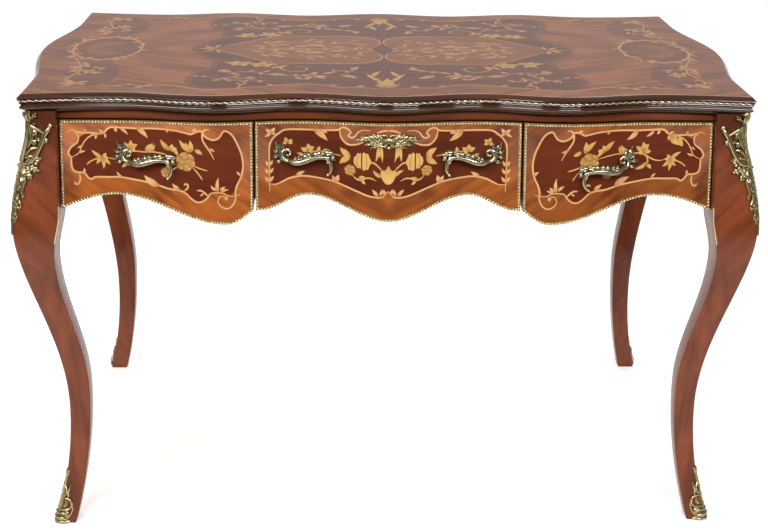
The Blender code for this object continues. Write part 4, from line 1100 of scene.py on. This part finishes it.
# the top's marquetry, one quarter of it, in mm from the middle of the desk
topInlay = {
    "reserve": [
        (0, 308), (40, 304), (80, 302), (98, 290), (122, 281), (160, 281), (186, 290), (204, 301), (226, 302), (246, 312),
        (275, 320), (308, 318), (326, 296), (337, 262), (334, 226), (318, 186), (302, 146), (303, 108), (318, 70),
        (340, 34), (350, 0),
    ],
    "cartouche": [
        (300, 0), (287, 26), (264, 50), (240, 77), (214, 101), (190, 126), (172, 127), (150, 121), (110, 120), (70, 122),
        (42, 117), (20, 105), (7, 86), (4, 62), (8, 40), (15, 20), (18, 0),
    ],
    "cornerPatch": [
        (482, 104), (462, 150), (452, 200), (458, 262), (480, 296), (510, 299), (528, 268), (524, 226), (519, 192),
        (524, 150), (534, 112), (520, 108),
    ],
    "lineWidth": 3.4,
    "lines": [
        [(304, 6), (287, 28), (264, 51), (240, 78), (214, 102), (194, 126), (185, 152), (176, 174), (160, 186), (144, 183),
         (135, 169), (140, 154), (152, 150), (157, 160)],
        [(180, 133), (164, 125), (150, 122), (110, 121), (70, 123), (42, 118), (20, 106), (7, 86), (3, 62), (7, 40),
         (16, 20)],
        [(0, 312), (24, 310), (45, 302), (80, 303), (98, 291), (122, 282), (160, 282), (186, 291), (204, 301), (226, 303),
         (246, 313), (275, 321), (308, 319), (334, 305), (362, 293), (396, 301), (430, 291), (462, 302), (512, 306)],
        [(246, 313), (243, 292), (235, 274), (246, 256), (262, 250)],
        [(300, 232), (282, 246), (264, 238), (250, 216), (262, 198), (288, 190)],
        [(252, 252), (236, 240), (222, 252), (204, 258)],
        [(262, 196), (240, 190), (216, 194), (204, 208)],
        [(108, 202), (92, 190), (78, 178), (60, 181), (52, 166)],
        [(104, 240), (124, 226), (146, 220), (166, 216)],
        [(562, 4), (558, 34), (548, 78), (536, 112), (525, 150), (520, 192), (527, 226), (532, 260), (518, 282), (506, 296)],
        [(520, 192), (508, 196), (494, 206), (478, 204)],
    ],
    "leaves": [
        ((286, 190), (270, 172), 12), ((264, 198), (282, 176), 8), ((204, 208), (166, 218), 18), ((140, 246), (154, 226), 9),
        ((140, 246), (126, 236), 9), ((88, 188), (110, 202), 11), ((56, 178), (46, 146), 11), ((80, 210), (52, 236), 16),
        ((52, 303), (38, 288), 9), ((98, 292), (82, 284), 7), ((186, 291), (200, 280), 8), ((300, 232), (312, 222), 8),
        ((282, 246), (290, 262), 8), ((236, 242), (226, 228), 7), ((210, 194), (196, 180), 8), ((400, 301), (382, 288), 9),
        ((398, 302), (414, 310), 8), ((432, 292), (448, 300), 9), ((430, 291), (416, 284), 7), ((316, 222), (328, 228), 7),
        ((262, 250), (276, 244), 8),
        ((524, 150), (546, 166), 9), ((524, 152), (540, 186), 8), ((530, 120), (512, 146), 8), ((526, 140), (508, 160), 8),
        ((522, 176), (538, 204), 8), ((470, 72), (456, 92), 9), ((474, 82), (474, 108), 9), ((472, 78), (486, 96), 7),
        ((548, 70), (562, 92), 7), ((555, 40), (570, 20), 6),
    ],
    "stars": [
        ((126, 214), [(118, 188), (146, 214), (104, 240), (98, 222)], 11),
        ((504, 196), [(490, 214), (518, 184), (496, 178), (482, 200), (510, 214)], 9),
        ((510, 280), [(492, 266), (494, 292), (534, 302), (542, 284), (524, 268)], 10),
        ((490, 168), [(500, 156), (480, 162), (486, 182)], 8),
    ],
    "blossoms": [
        ((252, 124), [(282, 116), (266, 142), (244, 146), (234, 112), (262, 106)], 15),
        ((214, 132), [(238, 126), (226, 152), (202, 152), (190, 132), (212, 112)], 15),
        ((186, 148), [(198, 162), (176, 164), (168, 146)], 10),
    ],
    "ringCentre": (500, 0),
    "ringHalf": (61, 98),
    "cartoucheLeaves": [  # both halves of a long vase of flowers inside each cartouche
        ((164, 24), (134, 22), 12), ((144, 38), (104, 26), 22), ((102, 20), (62, 17), 10), ((206, 50), (176, 72), 12),
        ((196, 30), (170, 44), 10), ((242, 20), (214, 27), 10), ((128, 60), (104, 74), 12), ((140, 74), (124, 92), 9),
        ((56, 42), (36, 52), 8), ((60, 66), (42, 82), 8), ((30, 4), (16, 16), 7), ((222, 52), (204, 66), 8),
        ((96, 56), (78, 68), 9),
    ],
    "cartoucheStems": [
        [(250, 6), (216, 5), (180, 7), (140, 5), (100, 7), (60, 5), (36, 4)],
        [(62, 40), (48, 45), (38, 36), (45, 24), (30, 15)],
        [(206, 8), (196, 28), (206, 48), (222, 52)],
        [(150, 40), (146, 58), (132, 66), (112, 62)],
        [(104, 30), (92, 46), (76, 52), (60, 66)],
    ],
    "fleur": [
        ((3, 302), (13, 244), 11), ((5, 305), (20, 280), 9), ((9, 262), (27, 220), 10),
        ((25, 230), (9, 180), 10), ((17, 246), (33, 202), 7),
    ],
    "fleurStems": [[(4, 284), (10, 258), (23, 228)]],
    "axisBlade": [((0, 308), (0, 238), 22)],
    "tipBlade": [((300, 0), (342, 0), 9)],
    "tipStar": [((306, 3), (326, 26), 9), ((304, 4), (298, 34), 8)],
}


def wholeOutline(quarter):
    # a quarter outline from the y axis to the x axis, mirrored round both
    right = quarter + [(a, -b) for a, b in reversed(quarter[:-1])]
    return right + [(-a, b) for a, b in reversed(right[1:-1])]


def buildTopInlay():
    d = topInlay
    ground, patches, light, strings, flowers = (newShape() for _ in range(5))
    whole = wholeOutline(d["reserve"])
    addPlate(patches, onTop, whole, inlay["ground"])
    addPlate(ground, onTop, insetLoop(whole[::-1], 11), inlay["ground"] * 1.25)
    for sideX in (1, -1):
        half = [(sideX * a, b) for a, b in d["cartouche"]]
        addPlate(light, onTop, half + [(a, -b) for a, b in reversed(half[1:-1])], inlay["ground"] * 1.5)
        centre, (halfX, halfY) = Vector((sideX * d["ringCentre"][0], 0)), d["ringHalf"]
        angles = [2 * math.pi * i / 24 for i in range(24)]
        ring = [centre + Vector((halfX * math.cos(a), halfY * math.sin(a))) for a in angles]
        addRibbon(strings, onTop, ring, 4.0, inlay["line"] + 0.00009, fineness=3, closed=True)
        band = [centre + (point - centre) * 0.8 for point in ring]
        addRibbon(patches, onTop, band, 24, inlay["ground"], fineness=3, closed=True)
        for index, a in enumerate(angles):
            way = Vector((halfX * math.cos(a), halfY * math.sin(a)))
            turn = Vector((-way.y, way.x)).normalized() * 20
            reach = way.normalized() * (9 if index % 2 else -9)
            addBlade(strings, onTop, centre + way, centre + way + turn + reach, 7, inlay["leaf"] + index % 3 * inlay["apart"])
        for sideY in (1, -1):
            at = mirrored(sideX, sideY)
            apart = inlay["apart"] * (sideX + 1 + (sideY + 1) / 2)
            addPlate(patches, onTop, at(d["cornerPatch"]), inlay["ground"])
            drawLines(strings, onTop, at, d["lines"], d["lineWidth"])
            drawLines(strings, onTop, at, d["cartoucheStems"], 2.6)
            for index, line in enumerate(d["lines"][3:] + d["cartoucheStems"]):
                addSprigs(strings, onTop, at(line), 23, 16, 7, inlay["line"] + 0.000002 * index + 0.00003 + apart / 9)
            drawBlades(strings, onTop, at, d["leaves"], inlay["leaf"] + apart)
            drawBlades(strings, onTop, at, d["cartoucheLeaves"], inlay["leaf"] + apart)
            drawBlades(strings, onTop, at, d["tipStar"], inlay["leaf"] + apart)
            if sideX == 1:
                drawBlades(flowers, onTop, at, d["axisBlade"], inlay["flower"] + 0.00012, 0.0)
            if sideY == 1:
                drawBlades(strings, onTop, at, d["tipBlade"], inlay["leaf"] + 0.00012, 0.0)
            drawStars(strings, onTop, at, d["stars"], inlay["leaf"])
            drawBlades(flowers, onTop, at, d["fleur"], inlay["flower"] + apart, 0.06)
            drawLines(flowers, onTop, at, d["fleurStems"], d["lineWidth"])
            drawStars(flowers, onTop, at, d["blossoms"], inlay["flower"])
    makePiece("top_reserve", ground, [veneers["topReserve"]], "carcass")
    makePiece("top_patches", patches, [veneers["topPatch"]], "carcass")
    makePiece("top_cartouches", light, [veneers["topCartouche"]], "carcass")
    makePiece("top_stringing", strings, [topBoxwood], "carcass")
    makePiece("top_flowers", flowers, [topSatin], "carcass")


buildTopInlay()
print("top marquetry built")


# cast brass: swept scrolls, lobed leaves, domes and balls
def addSweep(shape, route, sides=8, fineness=5, flutes=0, depth=0.0):
    # route holds x, y, z and the radius, all in metres
    path = curveThrough(route, fineness)
    centres = [Vector(point[:3]) for point in path]
    last = len(path) - 1
    rings, shade, normal = [], [], None
    for i, centre in enumerate(centres):
        heading = (centres[min(i + 1, last)] - centres[max(i - 1, 0)]).normalized()
        normal = normal or heading.orthogonal()
        normal = (normal - heading * normal.dot(heading)).normalized()
        across = heading.cross(normal)
        ring, marks = [], []
        for k in range(sides):
            angle = 2 * math.pi * k / sides
            groove = (1 - math.cos(flutes * angle)) / 2 if flutes else 0.0
            radius = path[i][3] * (1 - depth * groove)
            ring.append(centre + (normal * math.cos(angle) + across * math.sin(angle)) * radius)
            marks.append(groove)
        rings.append(ring)
        shade.append(marks)
    addLoft(shape, rings, shade=shade)


def addAcanthus(shape, place, spine, width, lift, rise, lobes=3, curl=0.0, thick=1.2):
    # all in mm; place(u, v, lift) gives the point in metres
    path = curveThrough(spine, max(3, math.ceil(7 * lobes / (len(spine) - 1))))
    last = len(path) - 1
    rings, shade = [], []
    for i, point in enumerate(path):
        heading = (path[min(i + 1, last)] - path[max(i - 1, 0)]).normalized()
        aside = Vector((-heading.y, heading.x))
        t = i / last
        body = max(0.12, math.sin(math.pi * (0.1 + 0.9 * t) ** 0.85) ** 0.7)
        lobe = 0.5 + 0.5 * math.cos(2 * math.pi * lobes * t)
        half = width / 2 * body * mix(0.62, 1.0, lobe)
        upper, lower, marks = [], [], []
        for s in (-1.0, -0.66, -0.33, 0.0, 0.33, 0.66, 1.0):
            spot = point + aside * (s * half) + heading * (abs(s) * half * 0.45)
            ridge = rise * body * (1 - 0.85 * s * s) * mix(0.7, 1.0, lobe) - (0.35 * rise if s == 0 else 0.0)
            out = lift + ridge + curl * t * t
            upper.append(place(spot.x * mm, spot.y * mm, out * mm))
            lower.append(place(spot.x * mm, spot.y * mm, (lift + curl * t * t - thick) * mm))
            marks.append(min(1.0, 0.75 * (1 - lobe) * abs(s) + (0.7 if s == 0 else 0.0)))
        rings.append(upper + lower[::-1])
        shade.append(marks + [1.0] * len(lower))
    addLoft(shape, rings, shade=shade)


def addDome(shape, place, centre, halfU, halfV, lift, rise, sides=12):
    rings = []
    for t in (0.0, 0.25, 0.5, 0.75, 0.97):
        share = math.cos(t * math.pi / 2)
        ring = []
        for k in range(sides):
            angle = 2 * math.pi * k / sides
            u = centre[0] + halfU * share * math.cos(angle)
            v = centre[1] + halfV * share * math.sin(angle)
            ring.append(place(u * mm, v * mm, (lift + rise * math.sin(t * math.pi / 2)) * mm))
        rings.append(ring)
    addLoft(shape, rings)


def addBall(shape, centre, radius):
    rings = []
    for t in spread(-0.96, 0.96, 8):
        level = math.sin(t * math.pi / 2)
        across = math.cos(t * math.pi / 2) * radius
        angles = [2 * math.pi * k / 12 for k in range(12)]
        ring = [Vector((across * math.cos(a), level * radius, across * math.sin(a))) for a in angles]
        rings.append([Vector(centre) + point for point in ring])
    addLoft(shape, rings)


def scrollOn(place, points):
    return [(*place(u * mm, v * mm, lift * mm), radius * mm) for u, v, lift, radius in points]


# knee mounts: u runs round the leg from its arris, v down from the head, then lift and radius, in mm
kneeMount = {
    "bars": [
        [(33, 24, 5, 2.8), (30, 29, 5.5, 3.6), (26, 37, 5.5, 3.8), (23.5, 47, 5.5, 3.8), (21, 57, 5.5, 3.8),
         (18, 67, 5.5, 3.8), (14, 75, 5.5, 3.6), (8, 80, 5, 3.2), (0, 81, 4, 2.6)],
        [(0, 20, 3, 3.4), (8, 24, 4, 3.2), (16, 28, 4.5, 3.0), (25, 33, 5, 2.6)],
        [(2, 68, 3, 2.4), (5, 61, 3.5, 2.6), (10, 57.5, 4, 2.6), (16, 57, 4, 2.4), (21, 57, 4, 2.0)],
        [(2, 72, 3, 2.2), (9, 70, 4, 2.6), (15, 71, 4.5, 2.4), (14, 76, 4, 2.2)],
        [(2, 20, 3, 3.8), (5, 31, 3.5, 3.6), (6, 43, 3.5, 3.0), (3, 53, 3, 2.6)],
        [(4, 90, 4, 2.0), (8, 98, 4.5, 2.2), (9, 108, 4.5, 2.4), (8, 118, 4.5, 2.4), (9, 126, 4.5, 2.4),
         (12, 131, 4, 2.0), (10, 134, 4, 1.6)],
        [(3, 128, 3, 2.0), (6, 138, 3.5, 2.2), (10, 146, 4, 2.2), (9, 151, 3.5, 1.7), (6, 149, 3, 1.2)],
    ],
    "leaves": [  # spine, width, lift, rise, lobes, curl
        ([(3, 34), (6, 27), (9, 18)], 12, 2.5, 3.5, 2, 1),
        ([(1, 58), (5, 48), (8, 38)], 9, 2.5, 3.0, 2, 1),
        ([(23, 52), (28, 47), (32, 42)], 9, 3, 3.0, 2, 2),
        ([(3, 27), (9, 32), (14, 40)], 12, 3, 3.5, 2, 1),
        ([(3, 44), (10, 47), (15, 53)], 11, 3, 3.5, 2, 1),
        ([(25, 42), (18, 44), (12, 42)], 8, 3, 3.0, 2, 0),
        ([(2, 11), (7, 6), (11, 0)], 10, 3, 4.0, 2, 3),
        ([(4, 76), (16, 76), (28, 72)], 15, 3.5, 4.0, 3, 2),
        ([(6, 84), (17, 88), (28, 92)], 14, 4, 4.0, 3, 2),
        ([(4, 90), (12, 97), (19, 105)], 13, 3.5, 4.0, 3, 2),
        ([(2, 84), (4, 100), (5, 116), (4, 128)], 13, 3.5, 3.0, 4, 0),
        ([(1, 128), (4, 142), (4, 156)], 9, 2.5, 2.5, 3, 1),
        ([(1, 152), (4, 164), (3, 176)], 8, 2, 2.0, 2, 1),
    ],
    "spine": [(0, 6, 1, 3.2), (0, 40, 1.5, 3.4), (0, 80, 3, 4.2), (0, 120, 2.2, 3.4), (0, 160, 1.5, 2.8), (0, 192, 1.2, 2.6),
              (0, 196, 1, 1.6)],
    "bud": [(0, -5, 5, 3.4), (0, -2, 7, 5.6), (0, 3, 7.5, 6.2), (0, 8, 6.0, 5.6), (0, 13, 4.5, 4.4), (0, 20, 3.5, 4.8),
            (0, 27, 3, 4.6), (0, 36, 2, 2.8)],
    "balls": [(34, 20, 6, 4.4), (30, 43, 6, 3.6), (10, 88, 6, 4.0), (21, 80, 6, 3.4), (8, 104, 5, 3.0)],
    "edgeRadius": 0.004,
}


def legPlace(sideX, sideY, heightOf):
    radius = kneeMount["edgeRadius"]
    quarter = radius * math.pi / 4

    def place(u, v, lift):
        z = heightOf(v)
        outer = legOuter(z)
        centre = outer - radius
        if abs(u) <= quarter:
            angle = math.radians(45 - 45 * u / quarter)
            a = centre + (radius + lift) * math.cos(angle)
            b = centre + (radius + lift) * math.sin(angle)
        elif u > 0:
            a, b = outer + lift, centre - (u - quarter)
        else:
            a, b = centre - (-u - quarter), outer + lift
        return (sideX * a, sideY * (b - legDiagonal), z)

    return place


def addBothHands(shape, place, bars, leaves):
    for hand in (-1, 1):
        for bar in bars:
            addSweep(shape, scrollOn(place, [(hand * u, *rest) for u, *rest in bar]), flutes=0)
        for spine, width, lift, rise, lobes, curl in leaves:
            addAcanthus(shape, place, [(hand * u, v) for u, v in spine], width, lift, rise, lobes, curl)


def buildKneeMounts():
    for corner, sides in corners.items():
        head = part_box(f"knee_mount_{corner}")[1].z
        place = legPlace(*sides, lambda v: head - v)
        shape = newShape()
        addBothHands(shape, place, kneeMount["bars"], kneeMount["leaves"])
        addSweep(shape, scrollOn(place, kneeMount["spine"]), 10, 5, 5, 0.3)
        addSweep(shape, scrollOn(place, kneeMount["bud"]), 12, 5, 6, 0.25)
        for hand in (-1, 1):
            for u, v, lift, radius in kneeMount["balls"]:
                addBall(shape, place(hand * u * mm, v * mm, lift * mm), radius * mm)
        name = f"knee_mount_{corner}"
        makePiece(f"{name}_cast", shape, [castBrass], "carcass", [name], 60)


# sabots: u round the leg, v up from the floor
sabot = {
    "bars": [
        [(0, 44, 2, 1.8), (7, 44, 3, 2.1), (14, 41, 3.5, 2.2), (18, 34, 3.5, 2.2), (16, 27, 3.5, 2.2), (9, 24, 3.5, 2.2),
         (0, 24, 3, 2.0)],
        [(18, 34, 2.5, 1.6), (21, 27, 2.5, 1.7), (20, 17, 2.5, 1.8), (16, 9, 2.5, 2.0), (11, 5, 2.5, 2.0)],
        [(0, 19, 4.5, 2.2), (7, 19, 5, 2.5), (13, 17, 4.5, 2.2), (17, 13, 3, 1.4)],
        [(0, 11.5, 5, 2.4), (7, 11, 5.5, 2.6), (13, 9, 4.5, 2.2), (17, 6, 3, 1.4)],
        [(-1, 3, 3.0, 2.8), (8, 3, 3.4, 2.9), (16, 3, 2.4, 2.8), (22, 3.2, 0.6, 2.4)],
        [(0, 68, 1.5, 1.6), (4, 60, 2.5, 1.9), (8, 52, 2.5, 1.8), (9, 46, 2, 1.4)],
    ],
    "leaves": [
        ([(2, 47), (6, 57), (10, 69)], 8, 2, 2.2, 2, 1.5),
        ([(4, 26), (8, 34), (4, 42)], 9, -0.4, 1.0, 1, 0),
        ([(1, 84), (2, 90), (3, 96)], 5, 1.2, 1.4, 1, 0.5),
    ],
    "pads": [((8, 12), 12, 12, 0.0, 5.0)],
    "spine": [(0, 6, 2.4, 2.6), (0, 24, 2.2, 2.4), (0, 46, 2.0, 2.6), (0, 62, 1.6, 2.4), (0, 76, 1.2, 2.0), (0, 86, 1.2, 1.8),
              (0, 92, 1.6, 2.3), (0, 97, 1.0, 1.0)],
}


def buildSabots():
    for corner, sides in corners.items():
        place = legPlace(*sides, lambda v: v)
        shape = newShape()
        addBothHands(shape, place, sabot["bars"], sabot["leaves"])
        for hand in (-1, 1):
            for (u, v), halfU, halfV, lift, rise in sabot["pads"]:
                addDome(shape, place, (hand * u, v), halfU, halfV, lift, rise)
        addSweep(shape, scrollOn(place, sabot["spine"]), 10, 5, 5, 0.25)
        name = f"sabot_{corner}"
        makePiece(f"{name}_cast", shape, [castBrass], "carcass", [name], 60)


# a brass line from the corner of the drawers down the inner arris of each leg, on a small wooden ear
legLine = {"above": 0.010, "below": 0.054, "earLength": 0.040, "earDepth": 0.010, "radius": (0.0014, 0.0005)}


def buildLegLines():
    for corner, (sideX, sideY) in corners.items():
        route, rings = [], []
        length = legLine["above"] + legLine["below"]
        for drop in spread(0.0, length, 20):
            z = drawerEnd + legLine["above"] - drop
            inner, outer = legInner(z), legOuter(z)
            near = max(0.0, 1 - drop / legLine["earLength"]) ** 1.5
            edge = mix(inner + 0.001, outerEdge + 0.0022, near)
            face = mix(outer - 0.001, outer, near) - legDiagonal
            radius = mix(*legLine["radius"], drop / length)
            route.append((sideX * edge, sideY * face, z, radius))
            if near > 0:
                front, back = face - 0.0004, face - legLine["earDepth"]
                flat = [(edge, front), (inner + 0.005, front), (inner + 0.005, back), (edge, back)]
                rings.append([(sideX * a, sideY * b, z) for a, b in flat])
        line, ear = newShape(), newShape()
        addSweep(line, route, 8, 2)
        addLoft(ear, rings)
        makePiece(f"leg_{corner}_line", line, [beadBrass], "carcass")
        makePiece(f"leg_{corner}_ear", ear, [veneers["leg"]], "carcass")


# handles: u along the drawer towards the leafy end, v up, then lift and radius, in mm
handle = {
    "z": 0.6709,
    "places": {  # x of the middle, the way the leaf points, drop, degrees tipped up, the body it rides on
        "handle_left": (-0.395, -1, 0.0035, 2.8, "drawer_left"),
        "handle_centre_left": (-0.137, -1, 0.0, 0.0, "drawer_centre"),
        "handle_centre_right": (0.137, 1, 0.0, 0.0, "drawer_centre"),
        "handle_right": (0.3585, 1, 0.0145, 11.0, "drawer_right"),
    },
    "stem": [
        (32, 4, -2, 4.2), (31, 5, 8, 3.8), (26, 1, 16, 3.6), (16, -2, 21, 4.6), (4, 0, 23, 5.2), (-8, 4, 23, 4.8),
        (-20, 7, 22, 3.8), (-32, 7, 20, 3.4), (-40, 6, 18, 3.0),
    ],
    "foot": [(-37, 6, 18, 3.2), (-38, 1, 13, 3.4), (-38, -3, 9, 3.9), (-38, -3, 4, 4.4), (-38, -3, -2, 5.0)],
    "scroll": [
        (18, -1, 19, 2.6), (25, 0, 17, 2.8), (32, 2, 15, 2.9), (36, 8, 14.5, 2.8), (35, 15, 14.5, 2.6),
        (29, 18, 14.5, 2.4), (23.5, 15, 14.5, 2.1), (23.5, 10, 15, 2.0), (28, 8, 15.5, 1.8),
    ],
    "curl": [
        (-32, 7, 19, 3.2), (-38, 4, 18, 3.2), (-42, -2, 17, 3.0), (-43, -9, 16, 2.8), (-42, -16, 15, 2.5),
        (-38, -22, 14, 2.0),
    ],
    "leaves": [
        ([(36, 10), (42, 19), (47, 29)], 11, 3, 4, 2, 5),
        ([(38, 5), (46, 5), (53, 4)], 9, 3, 4, 2, 4),
        ([(36, 1), (41, -3), (47, -5)], 8, 3, 3, 2, 3),
        ([(38, 9), (45, 12), (51, 15)], 8, 3, 3, 2, 3),
        ([(34, 10), (35, 18), (38, 26)], 8, 3, 3, 2, 3),
        ([(20, -1), (12, 4), (3, 8)], 12, 23, 4, 3, 0),
        ([(7, 2), (-4, 8), (-15, 12)], 14, 23, 4, 3, 0),
        ([(-9, 6), (-20, 11), (-31, 12)], 13, 21, 3, 3, -1),
        ([(-27, 8), (-39, 13), (-49, 10)], 12, 17, 3, 3, -1),
        ([(-36, 5), (-44, 5), (-50, 2)], 7, 16, 2.5, 2, -1),
    ],
    "balls": [(-46, 7, 17, 3.4), (-38, -22, 14, 2.7), (28, 9, 15.5, 2.4)],
    "plate": (37, 7, 10, 12),
}


def buildHandles():
    for name, (middle, side, drop, tipped, body) in handle["places"].items():
        tip = Matrix.Rotation(math.radians(tipped), 2)

        def place(u, v, lift):
            along, up = tip @ Vector((u, v))
            return onDrawers(middle + side * along, handle["z"] - drop + up, lift)

        shape = newShape()
        addSweep(shape, scrollOn(place, handle["stem"]), 12, 6, 4, 0.16)
        for route in ("foot", "scroll", "curl"):
            addSweep(shape, scrollOn(place, handle[route]), 10, 6)
        for spine, width, lift, rise, lobes, curl in handle["leaves"]:
            addAcanthus(shape, place, spine, width, lift, rise, lobes, curl)
        for u, v, lift, radius in handle["balls"]:
            addBall(shape, place(u * mm, v * mm, lift * mm), radius * mm)
        u, v, halfU, halfV = handle["plate"]
        addDome(shape, place, (u, v), halfU * 0.8, halfV * 0.8, -0.2, 4.5)
        makePiece(f"{name}_cast", shape, [handleBrass], body, [name], 60)


escutcheon = {
    "leaves": [  # one half
        ([(4, 2), (20, 4), (36, 4), (52, 1)], 13, 2, 3, 6, 0),
        ([(6, -2), (18, -6), (30, -11)], 9, 2, 2.5, 3, 1),
        ([(12, 0), (26, -3), (40, -6)], 9, 2.5, 2.5, 4, 1),
        ([(8, 5), (20, 9), (32, 9)], 8, 2, 2.5, 3, 1),
        ([(30, 3), (40, 5), (48, 6)], 7, 2.5, 2, 3, 1),
        ([(2, 7), (5, 0), (4, -11)], 9, 3, 3, 3, 1),
    ],
    "bars": [
        [(2, 8, 3, 1.4), (9, 10, 4, 1.7), (17, 8, 4.5, 1.7), (22, 3, 4.5, 1.6), (18, 0, 4.5, 1.4), (15, 3, 4.5, 1.2)],
        [(3, -7, 3, 1.3), (9, -8, 3.5, 1.5), (15, -5, 4, 1.5), (17, -1, 4, 1.2)],
    ],
}


def buildEscutcheon():
    low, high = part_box("escutcheon")
    middle = (low.z + high.z) / 2

    def place(u, v, lift):
        return onDrawers(u, middle + v, lift)

    shape = newShape()
    addBothHands(shape, place, escutcheon["bars"], escutcheon["leaves"])
    addDome(shape, place, (0, 1), 5, 7, 0.3, 4.5)
    addDome(shape, place, (0, -10), 4, 3.4, 0.3, 4)
    makePiece("escutcheon_cast", shape, [castBrass], "drawer_centre", ["escutcheon"], 60)


buildKneeMounts()
buildSabots()
buildLegLines()
buildHandles()
buildEscutcheon()
print("brass mounts built")


def finishBoards():
    steel, tree, shader = newMaterial("screwSteel", Metallic=1.0)
    place = addNode(tree, "ShaderNodeTexCoord").outputs["Object"]
    scratch = stretchedNoise(tree, place, (300.0, 300.0, 1500.0), 3.0)
    tree.links.new(blend(tree, scratch, (0.30, 0.29, 0.28, 1), (0.55, 0.54, 0.52, 1)), shader.inputs["Base Color"])
    tree.links.new(remap(tree, scratch, 0.3, 0.7, 0.3, 0.5), shader.inputs["Roughness"])
    crosswise = grainMaterial(
        "softwoodCross", (0.62, 0.40, 0.20), (0.44, 0.25, 0.11), (0, 0, 0), 0.4, (0.55, 0.7), matched=False, bump=0.2
    )
    for name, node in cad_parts.items():
        across = name.endswith(("_back", "lower_rail"))
        material = steel if "_screw_" in name else crosswise if across else softwood
        node.data.materials.clear()
        node.data.materials.append(material)


finishBoards()
print("boards and screws finished")

studio = {
    "floorColour": (0.86, 0.86, 0.86, 1),
    "floorGlow": (0.45, 0.72),  # beside the desk, then far behind it
    "floorDark": (0.10, 0.095, 0.09, 1),  # the room's floor, in front of the white paper
    "floorFade": (-1.9, -0.9),
    "skyHorizon": (0.70, 0.70, 0.71, 1),
    "skyMiddle": (0.30, 0.30, 0.31, 1),
    "skyTop": (0.44, 0.44, 0.44, 1),
    "skyFront": 0.35,
    "lamps": {  # place, target, size, power
        "keyLamp": ((-1.6, -3.4, 2.9), (0.0, -0.2, 0.5), (2.2, 1.3), 106),
        "fillLamp": ((0.95, -3.3, 2.5), (0.1, -0.2, 0.6), (1.2, 0.8), 56),
        "topLamp": ((0.0, 0.85, 3.2), (0.0, 0.1, 0.7), (3.0, 2.0), 66),
    },
    "cameraPlace": (-0.088, -2.59, 1.317),
    "cameraLens": 66.95,
    "cameraPitch": 20.28,
    "cameraYaw": 2.11,
    "cameraRoll": 0.77,
}


def buildFloor():
    shape = newShape()
    reach = 14.0
    addLoft(shape, [[(-reach, -reach, z), (reach, -reach, z), (reach, reach, z), (-reach, reach, z)] for z in (-0.02, -0.0005)])
    mesh = bpy.data.meshes.new("studio_floor")
    mesh.from_pydata(shape["points"], [], shape["faces"])
    floor = bpy.data.objects.new("studio_floor", mesh)
    bpy.context.scene.collection.objects.link(floor)
    material, tree, shader = newMaterial("floorPaper", Roughness=0.9)
    place = addNode(tree, "ShaderNodeTexCoord").outputs["Object"]
    fleck = stretchedNoise(tree, place, (60.0, 60.0, 60.0), 2.0)
    r, g, b, _ = studio["floorColour"]
    paper = blend(tree, fleck, (r, g, b, 1), (r * 1.02, g * 1.02, b * 1.02, 1))
    depth = addNode(tree, "ShaderNodeSeparateXYZ", [(0, place)]).outputs["Y"]
    near = remap(tree, depth, *studio["floorFade"], 0.0, 1.0)
    tree.links.new(blend(tree, near, studio["floorDark"], paper), shader.inputs["Base Color"])
    rays = addNode(tree, "ShaderNodeLightPath")
    seen = calc(tree, "MAXIMUM", rays.outputs["Is Camera Ray"], rays.outputs["Is Glossy Ray"])
    seen = calc(tree, "MAXIMUM", seen, rays.outputs["Is Transmission Ray"])
    shader.inputs["Emission Color"].default_value = (1, 1, 1, 1)
    glow = calc(tree, "MULTIPLY", near, remap(tree, depth, 0.6, 4.0, *studio["floorGlow"]))
    tree.links.new(calc(tree, "MULTIPLY", seen, glow), shader.inputs["Emission Strength"])
    mesh.materials.append(material)


def buildSky():
    world = bpy.data.worlds.new("studioSky")
    bpy.context.scene.world = world
    world.use_nodes = True
    tree = world.node_tree
    place = addNode(tree, "ShaderNodeTexCoord").outputs["Generated"]
    ways = addNode(tree, "ShaderNodeSeparateXYZ", [(0, place)]).outputs
    ramp = addNode(tree, "ShaderNodeValToRGB", [(0, ways["Z"])])
    stops = ramp.color_ramp.elements
    stops[0].position, stops[0].color = 0.04, studio["skyHorizon"]
    stops[1].position, stops[1].color = 1.0, studio["skyTop"]
    middle = stops.new(0.30)
    middle.color = studio["skyMiddle"]
    front = remap(tree, ways["Y"], -0.5, 0.3, studio["skyFront"], 1.0)
    tree.links.new(ramp.outputs[0], tree.nodes["Background"].inputs["Color"])
    tree.links.new(front, tree.nodes["Background"].inputs["Strength"])


def buildLamps():
    for name, (place, target, size, power) in studio["lamps"].items():
        data = bpy.data.lights.new(name, "AREA")
        data.shape = "RECTANGLE"
        data.size, data.size_y = size
        data.energy = power
        lamp = bpy.data.objects.new(name, data)
        lamp.location = place
        lamp.rotation_euler = (Vector(target) - Vector(place)).to_track_quat("-Z", "Y").to_euler()
        bpy.context.scene.collection.objects.link(lamp)


def buildCamera():
    data = bpy.data.cameras.new("camera")
    data.lens = studio["cameraLens"]
    data.sensor_width = 36.0
    data.sensor_fit = "HORIZONTAL"
    pitch, yaw, roll = (math.radians(studio[f"camera{turn}"]) for turn in ("Pitch", "Yaw", "Roll"))
    ahead = Vector((math.sin(yaw) * math.cos(pitch), math.cos(yaw) * math.cos(pitch), -math.sin(pitch)))
    level = Vector((math.cos(yaw), -math.sin(yaw), 0.0))
    upright = level.cross(ahead)
    right = level * math.cos(roll) + upright * math.sin(roll)
    up = upright * math.cos(roll) - level * math.sin(roll)
    turned = Matrix((right, up, -ahead)).transposed().to_4x4()
    camera = bpy.data.objects.new("camera", data)
    camera.matrix_world = Matrix.Translation(studio["cameraPlace"]) @ turned
    bpy.context.scene.collection.objects.link(camera)
    bpy.context.scene.camera = camera


buildFloor()
buildSky()
buildLamps()
buildCamera()
bpy.context.scene.view_settings.view_transform = "Standard"
print("studio built")
